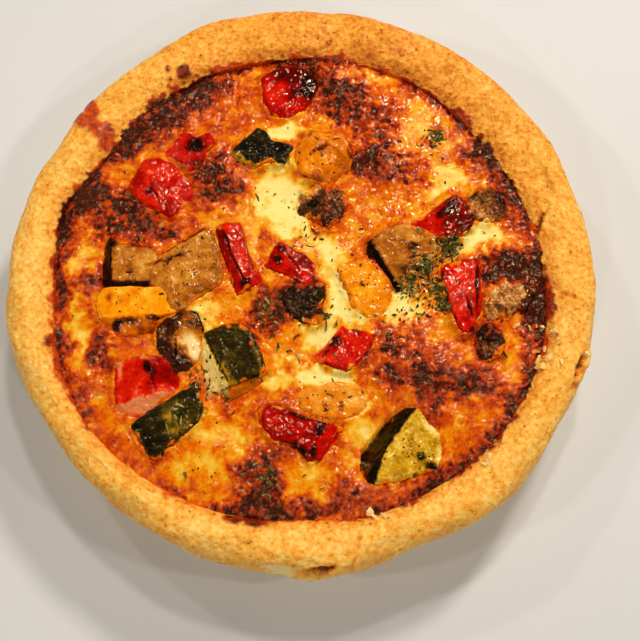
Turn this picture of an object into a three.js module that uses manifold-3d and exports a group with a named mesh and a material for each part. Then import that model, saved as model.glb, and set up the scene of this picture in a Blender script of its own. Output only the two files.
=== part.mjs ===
// A whole vegetable quiche out of its tin: a thick shortcrust case, a baked egg and
// cheese custard, and the roasted vegetables that show in its top.
// Millimetres, +Z up. The origin is the middle of the flat base.
import * as THREE from "three";
import { mergeVertices } from "three/addons/utils/BufferGeometryUtils.js";
import Module from "manifold-3d";

const wasm = await Module();
wasm.setup();

// Crust: driving sizes
const RIM_RADIUS = 114.5;     // widest part of the case, near the top of the wall
const RIM_HEIGHT = 40;        // crest of the rim above the table
const BASE_RADIUS = 104;      // where the wall starts, just above the table
const CRUST_SEGMENTS = 90;
const BASE_FOLLOWS = 0.4;     // how much of the rim's unevenness reaches the base
const BASE_CLEAR = 6;         // height below which the wall is smooth from the tin

// Custard: driving sizes
const FILL_RADIUS = 94.5;     // visible top of the custard
const FILL_SHIFT = -3;        // the far side of the rim is wider, so the custard sits nearer
const FILL_LEVEL = 36;
const FLOOR = 5;              // thickness of the pastry floor
const FILL_RINGS = 17;
const GAP = 0.3;              // clearance round a piece set in the custard
const WALL_GAP = 0.45;        // clearance between the custard and the case

// Uneven edges: each row is [direction in degrees, amount, spread in degrees]
const RIM_LOBES = [
  [15, -2.2, 14], [45, -0.6, 10], [90, 1.8, 20], [111, 1.2, 6], [150, -1.7, 18], [190, 1.0, 7],
  [222, -1.8, 15], [274, 1.5, 6], [291, -1.5, 6], [309, 1.0, 6], [330, -1.5, 7], [352, -0.8, 8],
];
const FILL_LOBES = [[35, 1.0, 20], [162, 3.4, 9], [186, -1.2, 5], [212, 3.6, 18], [270, -1.6, 7]];
const CREST_LOBES = [
  [84, -1.2, 4], [128, -0.6, 5], [198, -0.5, 9], [262, 0.5, 12], [318, -0.6, 9], [8, 0.5, 12],
];

// The broken flake low on the near side: a short lip of pastry standing off the wall
const FLAKE = { direction: 271, spread: 3.6, lip: 1.7, notch: 1.5 };

// Low unevenness of the hand-pressed pastry: height, and waves round the rim
const KNEAD = { height: 0.3, coarse: 13, fine: 22, drift: 1.1 };

// Swells and hollows of the custard: each row is [x, y, radius, height]
const SWELLS = [
  [-56, 61, 16, 1.6], [-74, 24, 13, 1.6], [-30, 38, 9, 1.3], [4, 86, 11, 1.4], [26, 68, 14, 1.6],
  [34, 42, 12, 1.5], [60, 48, 10, 0.7], [86, 4, 12, 1.2], [41, -33, 15, 1.1], [62, -53, 18, 1.7],
  [-7, -20, 11, 1.2], [-18, -83, 11, 1.5], [-36, -75, 14, 1.5], [-83, -14, 9, 1.0], [20, -86, 12, 1.1],
  [-6, 28, 10, -1.1], [13, -8, 9, -1.3], [-34, 22, 8, 0.8], [52, -4, 7, -0.8], [-72, -36, 9, -0.7],
];
const SWELL_FALL = 0.7;       // how quickly a swell falls off towards its radius
const RIPPLE = { height: 0.35, alongX: 11, alongY: 8, drift: 1.3 };  // between the swells
const EDGE_DIP = 1.0;         // the custard drops a little where it meets the pastry
const EDGE_WIDTH = 5;

// Vegetables: x and y of the middle, length, width and thickness, turn in degrees,
// far end's width over near end's, slant in degrees, how far the top stands above
// the custard's level, and the tilt along and across in degrees
const RED = 0xc21206;
const YELLOW = 0xf09a12;
const GREEN = 0x2b2a0c;
const TAN = 0xc98a3c;
const BROWN = 0x54290f;
const AMBER = 0xc86a12;
const PIECES = [
  ["red_pepper_1", RED, -5.5, 75.5, 20, 17.5, 6, 5, 0.8, -7, 1.9, 3, -2],
  ["red_pepper_2", RED, -58, 34.5, 18.5, 16.5, 7, -19, 1.1, 12, 2.9, -5, 4],
  ["red_pepper_3", RED, -43, 48.5, 13.5, 11.5, 6, 106, 0.9, 0, 2.2, 6, -4],
  ["red_pepper_4", RED, -25, 5.5, 28, 9.5, 6, 106, 1, 0, 2.4, 2, 7],
  ["red_pepper_5", RED, -3.5, 1.5, 17.5, 12, 6, -26, 0.93, 2, 2.1, -4, 5],
  ["red_pepper_6", RED, 16.5, -32.5, 15, 13.5, 6, -15, 0.92, -15, 2.2, -6, -5],
  ["red_pepper_7", RED, -2, -65, 26.5, 12, 7, -13, 1.25, -5, 2.2, 2, -5],
  ["red_pepper_8", RED, -58.5, -45, 19.5, 15, 9, 12, 0.8, 0, 2.9, -3, 8],
  ["red_pepper_9", RED, 57, 21.5, 17.5, 12, 7, 40, 0.85, 8, 2.3, 5, -7],
  ["red_pepper_10", RED, 61.5, -11.5, 27, 10.5, 7, 92, 1.8, 0, 2.8, 3, 3],
  ["yellow_pepper_1", YELLOW, 9, 47.5, 17.5, 17, 8, 12, 0.85, -4, 2.9, -3, 4],
  ["yellow_pepper_2", YELLOW, -64.5, -16, 23.5, 12.5, 9, 4, 1, 3, 2.6, 1, 6],
  ["yellow_pepper_3", YELLOW, 24, -8.5, 19, 13.5, 7, 104, 1.07, 0, 1.9, -3, 4],
  ["courgette_1", GREEN, -27, -35, 21.5, 16.5, 9, 111, 0.85, 0, 2.9, 4, -5],
  ["courgette_2", GREEN, -48, -61.5, 23.5, 15, 9, 38, 0.95, 10, 3.1, -2, -5],
  ["courgette_3", GREEN, 36, -73.5, 25.5, 17, 9, 50, 0.85, 6, 2.7, 3, 4],
  ["courgette_4", GREEN, -15, 50, 17.5, 11.5, 7, -12, 0.8, -8, 2.8, -4, -6],
  ["aubergine_1", TAN, -67.5, 1, 18, 15.5, 11, -1, 0.9, 0, 2.6, 2, 4],
  ["aubergine_2", TAN, -43.5, -1, 23, 19, 11, 108, 1.02, -15, 2.9, -3, 3],
  ["aubergine_3", TAN, 41.5, 5.5, 21, 11.5, 10, 13, 0.78, 6, 2.9, 4, 7],
  ["aubergine_4", TAN, -44, -31, 18.5, 10, 9, 111, 0.85, 4, 2.1, -3, 6],
  ["mushroom_1", BROWN, 7.5, 25, 14.5, 13.5, 8, 12, 1.1, 0, 2.2, 5, -3],
  ["mushroom_2", BROWN, 1.5, -15, 13.5, 13, 8, 9, 1.05, 0, 2.6, -4, 3],
  ["mushroom_3", TAN, 77, -13.5, 14, 13, 8, 90, 1, -6, 2.6, 4, -5],
  ["mushroom_4", BROWN, 73.5, 26, 12, 10.5, 7, 93, 1.1, 8, 2.2, -5, 3],
  ["mushroom_5", BROWN, 71, -30, 12, 9, 7, 91, 1, -4, 2.1, 3, -4],
  ["onion_1", AMBER, 11.5, -52.5, 21, 9.5, 4, -2, 0.7, -8, 1.1, 2, -2],
  ["onion_2", AMBER, -22, -51, 13.5, 5, 4, 23, 0.9, -4, 1.1, -3, 2],
];

// How a piece is blunted: share of a side that each corner takes, how far the corner's
// tip reaches, and the width and height of the rounded foot and shoulder
const BLUNT = { corner: 0.22, tip: 0.93, end: 0.84, foot: 2, waist: 0.98, shoulder: 1.3, crown: 0.15 };

// Dried herb flakes that show from a step away: each row is [x, y] of a pinch
const HERB_PINCHES = [
  [54, 58], [51, 52], [57, 9], [52.5, 6.5], [46, -3.5], [41, -7.5], [49, -9.5], [52, -22],
  [45.5, -16], [-14, -17], [-12, -21.5], [-16, -12.5], [-32.5, -50], [-15, -77.5], [-13, -83],
  [-17, -86], [1, 14.5], [-42, 57.5], [-23, 42], [35, -20.5], [11, -20], [14, -46.5], [-4, -31],
];
const FLAKES_A_PINCH = 2;
const HERB = { length: 3.2, width: 1.5, thickness: 0.8, scatter: 3, proud: 0.2, tilt: 0.5 };

const radians = THREE.MathUtils.degToRad;
const lerp = THREE.MathUtils.lerp;

// A repeatable run of numbers from 0 to 1
function randomRun(seed) {
  let state = seed;
  return () => {
    state = (state * 1664525 + 1013904223) % 4294967296;
    return state / 4294967296;
  };
}

// Sum of bell-shaped lobes round a circle
function lobes(rows, angle) {
  let sum = 0;
  for (const [direction, amount, spread] of rows) {
    const turn = THREE.MathUtils.radToDeg(angle) - direction;
    const away = THREE.MathUtils.euclideanModulo(turn + 180, 360) - 180;
    sum += amount * Math.exp(-0.5 * (away / spread) ** 2);
  }
  return sum;
}

const rimRadius = (angle) => RIM_RADIUS + lobes(RIM_LOBES, angle);
const fillRadius = (angle) => FILL_RADIUS + lobes(FILL_LOBES, angle);
const crestHeight = (angle) => RIM_HEIGHT + lobes(CREST_LOBES, angle);

// Closed mesh from rings of points: the first and last entries are single points
function closedRings(first, rings, last) {
  const count = rings[0].length;
  const points = [first, ...rings.flat(), last];
  const faces = [];
  for (let i = 0; i < count; i += 1) {
    const next = (i + 1) % count;
    faces.push(0, 1 + next, 1 + i);
    for (let ring = 0; ring + 1 < rings.length; ring += 1) {
      const low = 1 + ring * count;
      const high = low + count;
      faces.push(low + i, low + next, high + next, low + i, high + next, high + i);
    }
    const top = 1 + (rings.length - 1) * count;
    faces.push(top + i, top + next, points.length - 1);
  }
  const geometry = new THREE.BufferGeometry();
  geometry.setAttribute("position", new THREE.Float32BufferAttribute(points.flat(), 3));
  geometry.setIndex(faces);
  return geometry;
}

// Boolean work: geometry to solid and back
function toSolid(geometry) {
  const bare = geometry.clone();
  bare.deleteAttribute("normal");
  bare.deleteAttribute("uv");
  const merged = mergeVertices(bare);
  return new wasm.Manifold(new wasm.Mesh({
    numProp: 3,
    vertProperties: new Float32Array(merged.attributes.position.array),
    triVerts: new Uint32Array(merged.index.array),
  }));
}

function toGeometry(solid) {
  const mesh = solid.getMesh();
  const geometry = new THREE.BufferGeometry();
  geometry.setAttribute("position", new THREE.BufferAttribute(new Float32Array(mesh.vertProperties), 3));
  geometry.setIndex(new THREE.BufferAttribute(new Uint32Array(mesh.triVerts), 1));
  return geometry;
}

// The biggest body of a solid: scraps that a cut has set loose are dropped
function biggestBody(solid) {
  return solid.decompose().reduce((best, body) => (body.volume() > best.volume() ? body : best));
}

// Unevenness of the pressed pastry at one direction and one ring of the wall
function kneaded(angle, ring) {
  const { height, coarse, fine, drift } = KNEAD;
  return height * (Math.sin(coarse * angle + drift * ring) + Math.sin(fine * angle - 2 * drift * ring));
}

// Wall of the case at one direction, from the table up, over the rim and down inside.
// Each point is [radius, height, share of the custard's shift].
function crustProfile(angle) {
  const rim = rimRadius(angle);
  const top = crestHeight(angle);
  const base = BASE_RADIUS + BASE_FOLLOWS * (rim - RIM_RADIUS);
  const inside = fillRadius(angle);
  const lip = lobes([[FLAKE.direction, FLAKE.lip, FLAKE.spread]], angle);
  const notch = lobes([[FLAKE.direction, FLAKE.notch, FLAKE.spread / 2]], angle);
  return [
    [base - 3, 0, 0], [base - 0.8, 0.9, 0], [base + 0.6, 4, 0], [lerp(base, rim, 0.55), 14, 0],
    [rim - 2 + lip, 22, 0], [rim - 0.7 + lip, 26, 0], [rim - notch, 30.5, 0], [rim - 0.9, top - 4.5, 0],
    [rim - 3.4, top - 1.6, 0], [rim - 8, top, 0.3], [lerp(rim, inside, 0.6), top - 0.4, 0.6],
    [inside + 4.2, top - 1.4, 0.9], [inside + 1.4, top - 3.2, 1], [inside, FILL_LEVEL - 1.2, 1],
    [inside - 0.8, FILL_LEVEL - 5, 1], [inside - 5, FLOOR + 4, 1], [inside - 8, FLOOR, 1],
  ];
}

function crustGeometry() {
  const columns = [];
  for (let i = 0; i < CRUST_SEGMENTS; i += 1) {
    const angle = (2 * Math.PI * i) / CRUST_SEGMENTS;
    columns.push(crustProfile(angle).map(([radius, height, share], ring) => {
      const above = THREE.MathUtils.smoothstep(height, BASE_CLEAR, RIM_HEIGHT);
      const outer = share === 0 ? above * kneaded(angle, ring) : 0;
      const lift = share > 0 && share < 1 ? kneaded(angle, ring) : 0;
      return [
        (radius + outer) * Math.cos(angle), (radius + outer) * Math.sin(angle) + share * FILL_SHIFT,
        height + lift,
      ];
    }));
  }
  const rings = columns[0].map((_, ring) => columns.map((column) => column[ring]));
  return closedRings([0, 0, 0], rings, [0, FILL_SHIFT, FLOOR]);
}

// Height of the custard's top
function custardTop(x, y) {
  let height = FILL_LEVEL;
  for (const [cx, cy, radius, rise] of SWELLS) {
    height += rise * Math.exp(-((x - cx) ** 2 + (y - cy) ** 2) / (SWELL_FALL * radius ** 2));
  }
  height += RIPPLE.height * Math.sin(x / RIPPLE.alongX + RIPPLE.drift * Math.cos(y / RIPPLE.alongX));
  height += RIPPLE.height * Math.cos(y / RIPPLE.alongY + Math.sin(x / RIPPLE.alongY));
  const angle = Math.atan2(y - FILL_SHIFT, x);
  const inFromEdge = fillRadius(angle) - Math.hypot(x, y - FILL_SHIFT);
  return height - EDGE_DIP * Math.exp(-((inFromEdge / EDGE_WIDTH) ** 2));
}

// Custard before the vegetables are set in: an evenly meshed top over a tapered body
function custardGeometry() {
  const spot = (angle, share) => {
    const radius = share * (fillRadius(angle) - WALL_GAP);
    return [radius * Math.cos(angle), radius * Math.sin(angle) + FILL_SHIFT];
  };
  const points = [[0, FILL_SHIFT, custardTop(0, FILL_SHIFT)]];
  const start = [0];
  for (let ring = 1; ring <= FILL_RINGS; ring += 1) {
    start.push(points.length);
    for (let i = 0; i < 6 * ring; i += 1) {
      const [x, y] = spot((2 * Math.PI * i) / (6 * ring), ring / FILL_RINGS);
      points.push([x, y, custardTop(x, y)]);
    }
  }
  const faces = [];
  for (let ring = 1; ring <= FILL_RINGS; ring += 1) {
    const outer = (k) => start[ring] + (k % (6 * ring));
    const inner = (k) => (ring === 1 ? 0 : start[ring - 1] + (k % (6 * (ring - 1))));
    for (let sector = 0; sector < 6; sector += 1) {
      for (let k = 0; k < ring; k += 1) {
        const far = sector * ring + k;
        const near = sector * (ring - 1) + k;
        faces.push(inner(near), outer(far), outer(far + 1));
        if (k + 1 < ring) faces.push(inner(near), outer(far + 1), inner(near + 1));
      }
    }
  }
  // Side wall and underside, following the inside of the case
  const count = 6 * FILL_RINGS;
  const levels = [[-0.8, FILL_LEVEL - 5], [-5, FLOOR + 4], [-8, FLOOR + WALL_GAP]];
  let above = start[FILL_RINGS];
  for (const [inset, height] of levels) {
    const level = points.length;
    for (let i = 0; i < count; i += 1) {
      const angle = (2 * Math.PI * i) / count;
      const radius = fillRadius(angle) + inset - WALL_GAP;
      points.push([radius * Math.cos(angle), radius * Math.sin(angle) + FILL_SHIFT, height]);
    }
    for (let i = 0; i < count; i += 1) {
      const next = (i + 1) % count;
      faces.push(above + i, level + i, level + next, above + i, level + next, above + next);
    }
    above = level;
  }
  points.push([0, FILL_SHIFT, FLOOR + WALL_GAP]);
  for (let i = 0; i < count; i += 1) faces.push(above + i, points.length - 1, above + ((i + 1) % count));
  const geometry = new THREE.BufferGeometry();
  geometry.setAttribute("position", new THREE.Float32BufferAttribute(points.flat(), 3));
  geometry.setIndex(faces);
  return geometry;
}

// A cut piece of vegetable with blunt corners, its middle at the origin.
// grow makes it larger all round, for the bed it leaves in the custard.
function pieceGeometry([, , , , length, width, thickness, , taper, slant], grow = 0) {
  const { corner, tip, end, foot, waist, shoulder, crown } = BLUNT;
  const square = [[1, 1], [-1, 1], [-1, -1], [1, -1]];
  const outline = square.flatMap(([sx, sy]) => {
    const along = [sx, sy * (1 - 2 * corner)];
    const point = [sx * tip, sy * tip];
    const across = [sx * (1 - 2 * corner), sy];
    return sx * sy > 0 ? [along, point, across] : [across, point, along];
  });
  const ring = (scale, height) => outline.map(([u, v]) => {
    const across = v * scale * (width / 2 + grow) * lerp(1, taper, (u + 1) / 2) * (2 / (1 + taper));
    return [u * scale * (length / 2 + grow) + across * Math.tan(radians(slant)), across, height];
  });
  const half = thickness / 2 + grow;
  const rings = [
    ring(end, -half), ring(1, -half + foot), ring(waist, half - shoulder), ring(end, half - crown),
  ];
  return closedRings([0, 0, -half], rings, [0, 0, half + crown]);
}

// Where a piece lies: its middle, turned about the vertical and tipped a little
function placePiece(object, [, , x, y, , , thickness, turn, , , rise, tiltAlong, tiltAcross]) {
  object.position.set(x, y, FILL_LEVEL + rise - thickness / 2);
  object.rotation.set(radians(tiltAcross), radians(tiltAlong), radians(turn), "ZYX");
  object.updateMatrix();
  return object;
}

// One dried herb flake: a flat diamond lying on the custard
function flakeGeometry() {
  const { length, width, thickness } = HERB;
  const middle = [[length / 2, 0, 0], [0, width / 2, 0], [-length / 2, 0, 0], [0, -width / 2, 0]];
  return closedRings([0, 0, -thickness], [middle], [0, 0, thickness / 2]);
}

// The custard with its flakes on it and a bed cut for every piece
function settledCustard() {
  const random = randomRun(7);
  let solid = toSolid(custardGeometry());
  for (const [x, y] of HERB_PINCHES) {
    for (let i = 0; i < FLAKES_A_PINCH; i += 1) {
      const flake = new THREE.Object3D();
      const fx = x + (random() - 0.5) * HERB.scatter;
      const fy = y + (random() - 0.5) * HERB.scatter;
      const tiltAlong = (random() - 0.5) * HERB.tilt;
      flake.position.set(fx, fy, custardTop(fx, fy) + HERB.proud);
      flake.rotation.set(tiltAlong, (random() - 0.5) * HERB.tilt, random() * Math.PI);
      flake.updateMatrix();
      solid = solid.add(toSolid(flakeGeometry().applyMatrix4(flake.matrix)));
    }
  }
  for (const row of PIECES) {
    const bed = placePiece(new THREE.Object3D(), row);
    solid = solid.subtract(toSolid(pieceGeometry(row, GAP).applyMatrix4(bed.matrix)));
  }
  return biggestBody(solid);
}

function finish(color, roughness) {
  return new THREE.MeshStandardMaterial({ color, roughness, metalness: 0, flatShading: true });
}

function named(name, geometry, material) {
  const mesh = new THREE.Mesh(geometry, material);
  mesh.name = name;
  return mesh;
}

const quiche = new THREE.Group();
quiche.name = "quiche";
quiche.add(named("crust", crustGeometry(), finish(0xe3a04a, 0.85)));
quiche.add(named("custard", toGeometry(settledCustard()), finish(0xd9781a, 0.45)));

const vegetables = new THREE.Group();
for (const row of PIECES) {
  const [name, color] = row;
  vegetables.add(placePiece(named(name, pieceGeometry(row), finish(color, 0.35)), row));
}
quiche.add(vegetables);

export default quiche;
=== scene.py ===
# %% [markdown]
# # Dressing a whole vegetable quiche
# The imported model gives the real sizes: a pastry case, the custard in it and the roasted
# vegetables baked into its top. This lesson makes their looks. The order is camera, custard,
# pastry, vegetables, the small things scattered on top, and then the light.
#
# Lengths are in millimetres while shapes are worked out, and become metres when a mesh is
# made. All chance comes from seeded noise and one seeded generator, `draw`, so that every run
# bakes the same quiche.

# %% Load the frame
import math

import bpy
import numpy as np
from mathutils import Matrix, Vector, noise
from mathutils.bvhtree import BVHTree
from mathutils.kdtree import KDTree


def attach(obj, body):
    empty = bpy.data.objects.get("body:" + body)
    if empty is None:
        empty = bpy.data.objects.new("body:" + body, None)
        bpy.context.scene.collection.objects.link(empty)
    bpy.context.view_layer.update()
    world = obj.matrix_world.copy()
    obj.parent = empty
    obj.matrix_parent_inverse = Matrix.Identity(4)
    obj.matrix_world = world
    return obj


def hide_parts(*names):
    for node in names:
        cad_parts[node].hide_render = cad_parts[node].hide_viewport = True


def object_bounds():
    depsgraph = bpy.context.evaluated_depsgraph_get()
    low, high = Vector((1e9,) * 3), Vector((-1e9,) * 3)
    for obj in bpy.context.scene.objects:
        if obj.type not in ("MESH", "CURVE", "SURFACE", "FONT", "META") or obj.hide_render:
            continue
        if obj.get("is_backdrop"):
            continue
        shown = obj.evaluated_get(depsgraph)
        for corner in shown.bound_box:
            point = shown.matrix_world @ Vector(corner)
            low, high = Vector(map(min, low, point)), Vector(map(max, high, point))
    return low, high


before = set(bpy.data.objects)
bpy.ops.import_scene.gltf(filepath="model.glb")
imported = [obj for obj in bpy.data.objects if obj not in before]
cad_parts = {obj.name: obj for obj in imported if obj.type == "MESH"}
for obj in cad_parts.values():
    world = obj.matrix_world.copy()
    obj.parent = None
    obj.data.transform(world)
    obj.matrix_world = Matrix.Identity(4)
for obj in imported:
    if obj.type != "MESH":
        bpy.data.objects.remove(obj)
cad_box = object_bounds()
MM = 0.001
draw = np.random.default_rng(11)
print("nodes in the frame:", len(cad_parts))

# %% [markdown]
# ## The camera, and places read off the photograph
# The outline of the rim is an ellipse 0.96 times as high as it is wide, so the camera looks
# down at about 72 degrees. It comes first because many small things are easiest to place by
# where they show. `photo_spot` follows the line of sight of a pixel down to a height above
# the table, so a place read off the picture becomes a true place on the quiche.

# %% Camera and line of sight
PICTURE = (640, 641)
LENS, SENSOR = 60.0, 36.0
ELEVATION = math.radians(72)
DISTANCE = 405.0
AIM = np.array([6.5, -21.1, 36.0])
FOCAL = LENS / SENSOR * PICTURE[0]
towards_camera = np.array([0, -math.cos(ELEVATION), math.sin(ELEVATION)])
picture_up = np.array([0, math.sin(ELEVATION), math.cos(ELEVATION)])
eye = AIM + DISTANCE * towards_camera


def photo_spot(px, py, level):
    """x and y, in millimetres, of what shows at a pixel, if it is `level` above the table."""
    ray = -FOCAL * towards_camera + (PICTURE[1] / 2 - py) * picture_up
    ray = ray + np.array([px - PICTURE[0] / 2, 0, 0])
    return (eye + (level - eye[2]) / ray[2] * ray)[:2]


def photo_pixel(points):
    """Pixel columns and rows at which points, in millimetres, show."""
    away = points - eye
    depth = away @ -towards_camera
    px = PICTURE[0] / 2 + FOCAL * away[:, 0] / depth
    return px, PICTURE[1] / 2 - FOCAL * (away @ picture_up) / depth


camera = bpy.data.objects.new("camera", bpy.data.cameras.new("camera"))
camera.data.lens, camera.data.sensor_width = LENS, SENSOR
camera.data.clip_start, camera.data.clip_end = 0.01, 20
camera.location = eye * MM
camera.rotation_euler = (math.pi / 2 - ELEVATION, 0, 0)
bpy.context.scene.collection.objects.link(camera)
bpy.context.scene.camera = camera
print("camera stands", round(eye[2]), "mm above the table")

# %% [markdown]
# ## Small tools for shapes
# Baked food has no straight lines, so almost everything here is a smooth form plus noise of
# several sizes. Blender's own `mathutils.noise` gives it. Displacement modifiers could do the
# same, but arrays of points are quicker and each step can be measured. A mesh is made once
# from its points and faces, and its colours are painted as named numbers on the points, so
# that the materials can read them.


# %% Noise and lobes
def wobble(points, size, seed, octaves=2):
    """Smooth noise of about -1 to 1, with features of about `size` millimetres."""
    shift = Vector((seed * 17.3, seed * 5.9, seed * 11.1))
    return np.array([noise.fractal(Vector(p) / size + shift, 1.0, 2.0, octaves) for p in points])


def creases(points, size, seed):
    """Sharp-ridged noise from 0 to about 1, for wrinkles and bubbled cheese."""
    shift = Vector((seed * 7.7, seed * 13.1, seed * 3.3))
    return np.array([1 - abs(noise.noise(Vector(p) / size + shift)) * 2.2 for p in points])


def smooth(low, high, value):
    """0 up to `low`, 1 from `high` on, and a soft rise between. It falls if low is above high."""
    share = np.clip((value - low) / (high - low), 0, 1)
    return share * share * (3 - 2 * share)


def lobes(rows, angle):
    """Sum of bell-shaped lobes round a circle: [direction, amount, spread] in degrees."""
    total = np.zeros_like(angle)
    for direction, amount, spread in rows:
        away = (np.degrees(angle) - direction + 180) % 360 - 180
        total += amount * np.exp(-0.5 * (away / spread) ** 2)
    return total


# %% Meshes
def add_piece(name, points, faces, slot, material, *nodes, flat=False, **layers):
    """A mesh piece that rides on the quiche, with numbers painted on its points."""
    mesh = bpy.data.meshes.new(name)
    mesh.from_pydata((np.asarray(points) * MM).tolist(), [], np.asarray(faces).tolist())
    if not flat:
        mesh.shade_smooth()
    piece = bpy.data.objects.new(name, mesh)
    bpy.context.scene.collection.objects.link(piece)
    for layer, values in layers.items():
        mesh.attributes.new(layer, "FLOAT", "POINT").data.foreach_set("value", values.astype(np.float32))
    mesh.materials.append(material)
    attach(piece, "root")
    if nodes:
        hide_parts(*nodes)
    print(name, len(mesh.polygons), "faces")
    return piece


def tube(rings, around):
    """Quads between neighbouring rings of points, each ring closed."""
    ring, place = np.divmod(np.arange((rings - 1) * around), around)
    here, beside = ring * around + place, ring * around + (place + 1) % around
    return np.column_stack([here, here + around, beside + around, beside])


def fan(hub, ring):
    """Triangles that close a ring of points around a hub."""
    return np.column_stack([np.full(len(ring), hub), ring, np.roll(ring, -1)])


def halved(quads):
    return np.vstack([quads[:, [0, 1, 2]], quads[:, [0, 2, 3]]])


def normals_of(points, faces):
    """Unit normals at the points of a mesh, from the faces round each."""
    corners = points[faces]
    across = np.cross(corners[:, 2] - corners[:, 0], corners[:, -1] - corners[:, 1])
    if faces.shape[1] == 3:
        across = np.cross(corners[:, 1] - corners[:, 0], corners[:, 2] - corners[:, 0])
    total = np.zeros_like(points)
    for k in range(faces.shape[1]):
        np.add.at(total, faces[:, k], across)
    return total / np.maximum(np.linalg.norm(total, axis=1, keepdims=True), 1e-12)


# %% [markdown]
# ## Shader maths as sums
# Food needs many soft layers of colour, and the nodes for them soon become a web. Sums are
# easier to read. `Value` wraps one output of a node and gives it the usual signs, each of
# which adds a Math node. `Recipe` holds the material: `add` makes any other node, and the
# named methods after it are the few that this quiche needs.


# %% Value
class Value:
    """One number that comes out of a node."""

    def __init__(self, recipe, socket):
        self.recipe, self.socket = recipe, socket

    def sum_with(self, operation, first, second):
        return self.recipe.add("ShaderNodeMath", {"operation": operation}, {0: first, 1: second})

    def __add__(self, other):
        return self.sum_with("ADD", self, other)

    def __sub__(self, other):
        return self.sum_with("SUBTRACT", self, other)

    def __rsub__(self, other):
        return self.sum_with("SUBTRACT", other, self)

    def __mul__(self, other):
        return self.sum_with("MULTIPLY", self, other)

    __radd__, __rmul__ = __add__, __mul__

    def clamped(self):
        settings = {"operation": "ADD", "use_clamp": True}
        return self.recipe.add("ShaderNodeMath", settings, {0: self, 1: 0.0})


# %% Recipe
class Recipe:
    """A material and the nodes that make it."""

    def __init__(self, name):
        self.material = bpy.data.materials.new(name)
        self.material.use_nodes = True
        self.tree = self.material.node_tree
        self.surface = self.tree.nodes["Principled BSDF"]

    def add(self, kind, settings, inputs, output=0):
        node = self.tree.nodes.new(kind)
        for key, value in settings.items():
            if key == "stops":
                self.set_stops(node.color_ramp, value)
            else:
                setattr(node, key, value)
        for key, value in inputs.items():
            self.feed(node.inputs[key], value)
        return Value(self, node.outputs[output])

    def set_stops(self, ramp, stops):
        while len(ramp.elements) < len(stops):
            ramp.elements.new(1.0)
        for element, (place, color) in zip(ramp.elements, stops):
            element.position, element.color = place, (*linear(color), 1)

    def feed(self, socket, value):
        if isinstance(value, Value):
            self.tree.links.new(value.socket, socket)
        else:
            socket.default_value = value

    def painted(self, layer):
        return self.add("ShaderNodeAttribute", {"attribute_name": layer}, {}, "Fac")

    def place(self):
        """Where a spot is on the quiche, so that a pattern stays fixed to it."""
        return self.add("ShaderNodeTexCoord", {}, {}, "Object")

    def grain(self, size, detail=2.0, roughness=0.5):
        """Noise of about 0 to 1 with features of `size` millimetres."""
        inputs = {
            "Vector": self.place(), "Scale": 1 / (size * MM), "Detail": detail, "Roughness": roughness,
        }
        return self.add("ShaderNodeTexNoise", {}, inputs)

    def blebs(self, size, smoothness=0.35, stir=0.5):
        """Round cells of about `size` millimetres: 0 at their middles, about 0.7 between them."""
        place, scale = self.place(), 1 / (size * MM)
        inputs = {"Vector": place, "Scale": scale, "Detail": 1.0}
        stray = self.add("ShaderNodeTexNoise", {}, inputs, "Color")
        inputs = {0: stray, "Scale": size * MM * stir}
        push = self.add("ShaderNodeVectorMath", {"operation": "SCALE"}, inputs)
        pushed = self.add("ShaderNodeVectorMath", {"operation": "ADD"}, {0: place, 1: push})
        inputs = {"Vector": pushed, "Scale": scale, "Smoothness": smoothness}
        return self.add("ShaderNodeTexVoronoi", {"feature": "SMOOTH_F1"}, inputs, "Distance")

    def ramp(self, value, stops):
        return self.add("ShaderNodeValToRGB", {"stops": stops}, {"Fac": value})

    def mix(self, share, first, second):
        """A colour between two others."""
        return self.add("ShaderNodeMix", {"data_type": "RGBA"}, {"Factor": share, 6: first, 7: second}, 2)

    def bump(self, height, distance):
        """Small bumps, `distance` millimetres high where the height is 1."""
        inputs = {"Height": height, "Strength": 1.0, "Distance": distance * MM}
        return self.add("ShaderNodeBump", {}, inputs)

    def finish(self, **inputs):
        for key, value in inputs.items():
            self.feed(self.surface.inputs[key.replace("_", " ")], value)
        return self.material


def linear(color):
    """A colour as the eye sees it, from 0 to 255, as the light that a shader works in."""
    share = [c / 255 for c in color]
    return tuple(s / 12.92 if s <= 0.04045 else ((s + 0.055) / 1.055) ** 2.4 for s in share)


# %% [markdown]
# ## Ovals and lines on the picture
# Browned patches, stains, breaks and the marks on the vegetables are all placed in one way:
# as ovals or short lines on the photograph. They could be painted on an image, but then each
# mesh would need its own. Two helpers tell how near every point is to such an oval or line,
# and each step decides what happens there, be it a colour or a height.


# %% Nearness to an oval or a line
def oval(px, py, row, fray=0.0):
    """Distance from the middle of an oval, where 1 is its rim. A row starts with middle, half
    width and half height in pixels, and a turn in degrees, clockwise."""
    cx, cy, wide, high, turn = row[:5]
    c, s = math.cos(math.radians(turn)), math.sin(math.radians(turn))
    along = ((px + fray - cx) * c + (py - cy) * s) / wide
    across = ((py + fray - cy) * c - (px - cx) * s) / high
    return np.hypot(along, across)


def near_line(px, py, row, width):
    """1 on a short line between two pixels, falling to 0 beside it."""
    start, end = np.array(row[:2], float), np.array(row[2:], float)
    way = end - start
    share = np.clip(((px - start[0]) * way[0] + (py - start[1]) * way[1]) / (way @ way), 0, 1)
    away = np.hypot(px - start[0] - share * way[0], py - start[1] - share * way[1])
    return np.exp(-((away / width) ** 2)) * np.sin(math.pi * np.clip(share, 0.05, 0.95)) ** 0.5


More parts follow.
